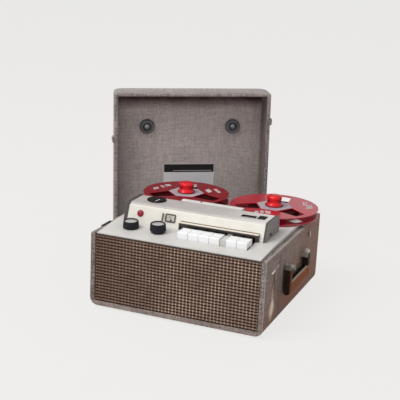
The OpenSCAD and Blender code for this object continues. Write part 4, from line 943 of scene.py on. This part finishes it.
# LID FITTINGS
# Two rubber bumpers that press on the reel caps, each held by a nickel screw; a pale card, left
# bare but for a black head band; a bent catch on each side.
bumper_rubber = grained("bumper_rubber", (72, 72, 77), (94, 94, 99), 700, 0.55, 0.8, 0.0001)
BUMPER_PROFILE = [
    (6.4, 0), (12, 0), (12, 1), (10.9, 6.4), (10.2, 7.6), (9.2, 8), (7.8, 7.8), (6.8, 6.8),
    (6.4, 0)]
SCREW_PROFILE = [(0.3, 5), (2.4, 4.7), (4.4, 3.6), (5.6, 2), (6, 0.2), (6, 0)]
BUMPER_X, BUMPER_Z = 69.5, 187.0
bumpers, screws = [], []
for x in (-BUMPER_X, BUMPER_X):
    for made, profile, around, capped in (
            (bumpers, BUMPER_PROFILE, 72, False), (screws, SCREW_PROFILE, 40, True)):
        turned = lathe(profile, around)[..., [0, 2, 1]] * (1, -1, 1)
        made.append(skin(turned + (x, LINING_Y, BUMPER_Z), capped))
piece("lid_bumper_rings", bumpers, "lid", bumper_rubber, ["lid_bumpers"], place=ON_LID)
dull_nickel = grained("dull_nickel", (132, 134, 138), (160, 161, 164), 240, 0.24, 0.4, Metallic=0.5)
piece("lid_bumper_screws", screws, "lid", dull_nickel, place=ON_LID)

card_pale = grained("card_pale", (198, 194, 198), (208, 205, 208), 300, 0.6, 0.8)
band_black = grained(
    "band_black", (18, 15, 14), (28, 25, 24), 300, 0.6, 0.8, Specular_IOR_Level=0.3)
CARD_X0, CARD_X1, CARD_Z0, CARD_Z1, BAND_Z = -41.5, 41.5, 62.4, 124.4, 110.6
card_edge = slab(CARD_X0, CARD_Z0, CARD_X1, CARD_Z1, 1.0, 4)
piece("lid_card", [bar("y", 38.4, LINING_Y, card_edge)], "lid", card_pale, ["label_card"],
      place=ON_LID)
band_edge = slab(CARD_X0 + 0.6, BAND_Z, CARD_X1 - 0.6, CARD_Z1 - 0.6, 0.6, 4)
piece("lid_card_band", [bar("y", 38.25, 38.5, band_edge)], "lid", band_black, place=ON_LID)
rule = bar("y", 38.15, 38.3, slab(-26, 112.8, 37.5, 113.6, 0.2, 3))
piece("lid_card_rule", [rule], "lid", hub_card, place=ON_LID)
dress(grained("catch_grey", (112, 109, 107), (138, 135, 132), 220, 0.3, 0.5, Metallic=0.6),
      "lid_catches")
tongue_pale = grained("tongue_pale", (176, 172, 168), (200, 197, 193), 220, 0.3, 0.5, Metallic=0.4)
tongues = [bar("y", 4, 11, (side, 1) * rounded(
    [(124, low), (126.6, low + 1), (128, low + 6), (127.4, low + 11), (124, low + 11)],
    [0.3, 0.8, 1.2, 1.0, 0.3], 4)) for side, low in ((-1, 167.7), (1, 195.3))]
piece("catch_tongues", tongues, "lid", tongue_pale, place=ON_LID)


# FLOOR, LIGHT AND CAMERA
# A wide pale floor that keeps the soft shadow, one large lamp above the left front with a weak one
# low before the object, an even sky, and the camera where the photograph was taken from.
BACKGROUND = paint(239, 238, 236)


def seen_pale(tree, shader_socket, out, strength):
    """Shows the background's own colour to the camera and through glass; light that the surface
    gives to the object stays as its shader says."""
    path = wire(tree, "LightPath", {}).outputs
    seen = sums("MAXIMUM", path["Is Camera Ray"], path["Is Transmission Ray"])
    pale = wire(tree, "Emission" if strength < 1 else "Background",
                {"Color": BACKGROUND, "Strength": 1.0}).outputs[0]
    mixed = wire(tree, "MixShader", {0: times(seen, strength), 1: shader_socket, 2: pale})
    tree.links.new(mixed.outputs[0], out)


floor_mesh = bpy.data.meshes.new("floor")
floor_mesh.from_pydata([(-30, -30, 0), (30, -30, 0), (30, 30, 0), (-30, 30, 0)], [], [(0, 1, 2, 3)])
floor = add("floor", floor_mesh)
floor_pale, tree, shader = blank("floor_pale", Base_Color=paint(226, 225, 223), Roughness=0.9)
seen_pale(tree, shader.outputs[0], tree.nodes["Material Output"].inputs[0], 0.88)
floor_mesh.materials.append(floor_pale)

world = bpy.data.worlds.new("studio")
bpy.context.scene.world = world
world.use_nodes = True
tree = world.node_tree
sky = tree.nodes["Background"]
sky.inputs["Color"].default_value = (1, 1, 1, 1)
sky.inputs["Strength"].default_value = 0.58
seen_pale(tree, sky.outputs[0], tree.nodes["World Output"].inputs[0], 1.0)


def softbox(name, spot, aim, size, watts):
    """Square area lamp at a spot, facing an aim point."""
    lamp = bpy.data.lights.new(name, "AREA")
    lamp.energy, lamp.size = watts, size
    made = add(name, lamp)
    made.location = spot
    made.rotation_euler = (Vector(aim) - Vector(spot)).to_track_quat("-Z", "Y").to_euler()


softbox("key_light", (-0.9, -1.1, 2.0), (0, 0, 0.1), 1.4, 34)
softbox("front_fill", (0.25, -2.4, 0.7), (0, 0, 0.12), 1.6, 7)

RIGHT, UP, BACK = (0.9256, 0.3758, 0.0457), (-0.1433, 0.2359, 0.9612), (0.3504, -0.8962, 0.2722)
lens = bpy.data.cameras.new("camera")
lens.sensor_width, lens.lens = 36.0, 91.3
camera = add("camera", lens)
turn = Matrix((RIGHT, UP, BACK)).transposed().to_4x4()
camera.matrix_world = Matrix.Translation((0.4798, -1.2737, 0.5222)) @ turn
bpy.context.scene.camera = camera
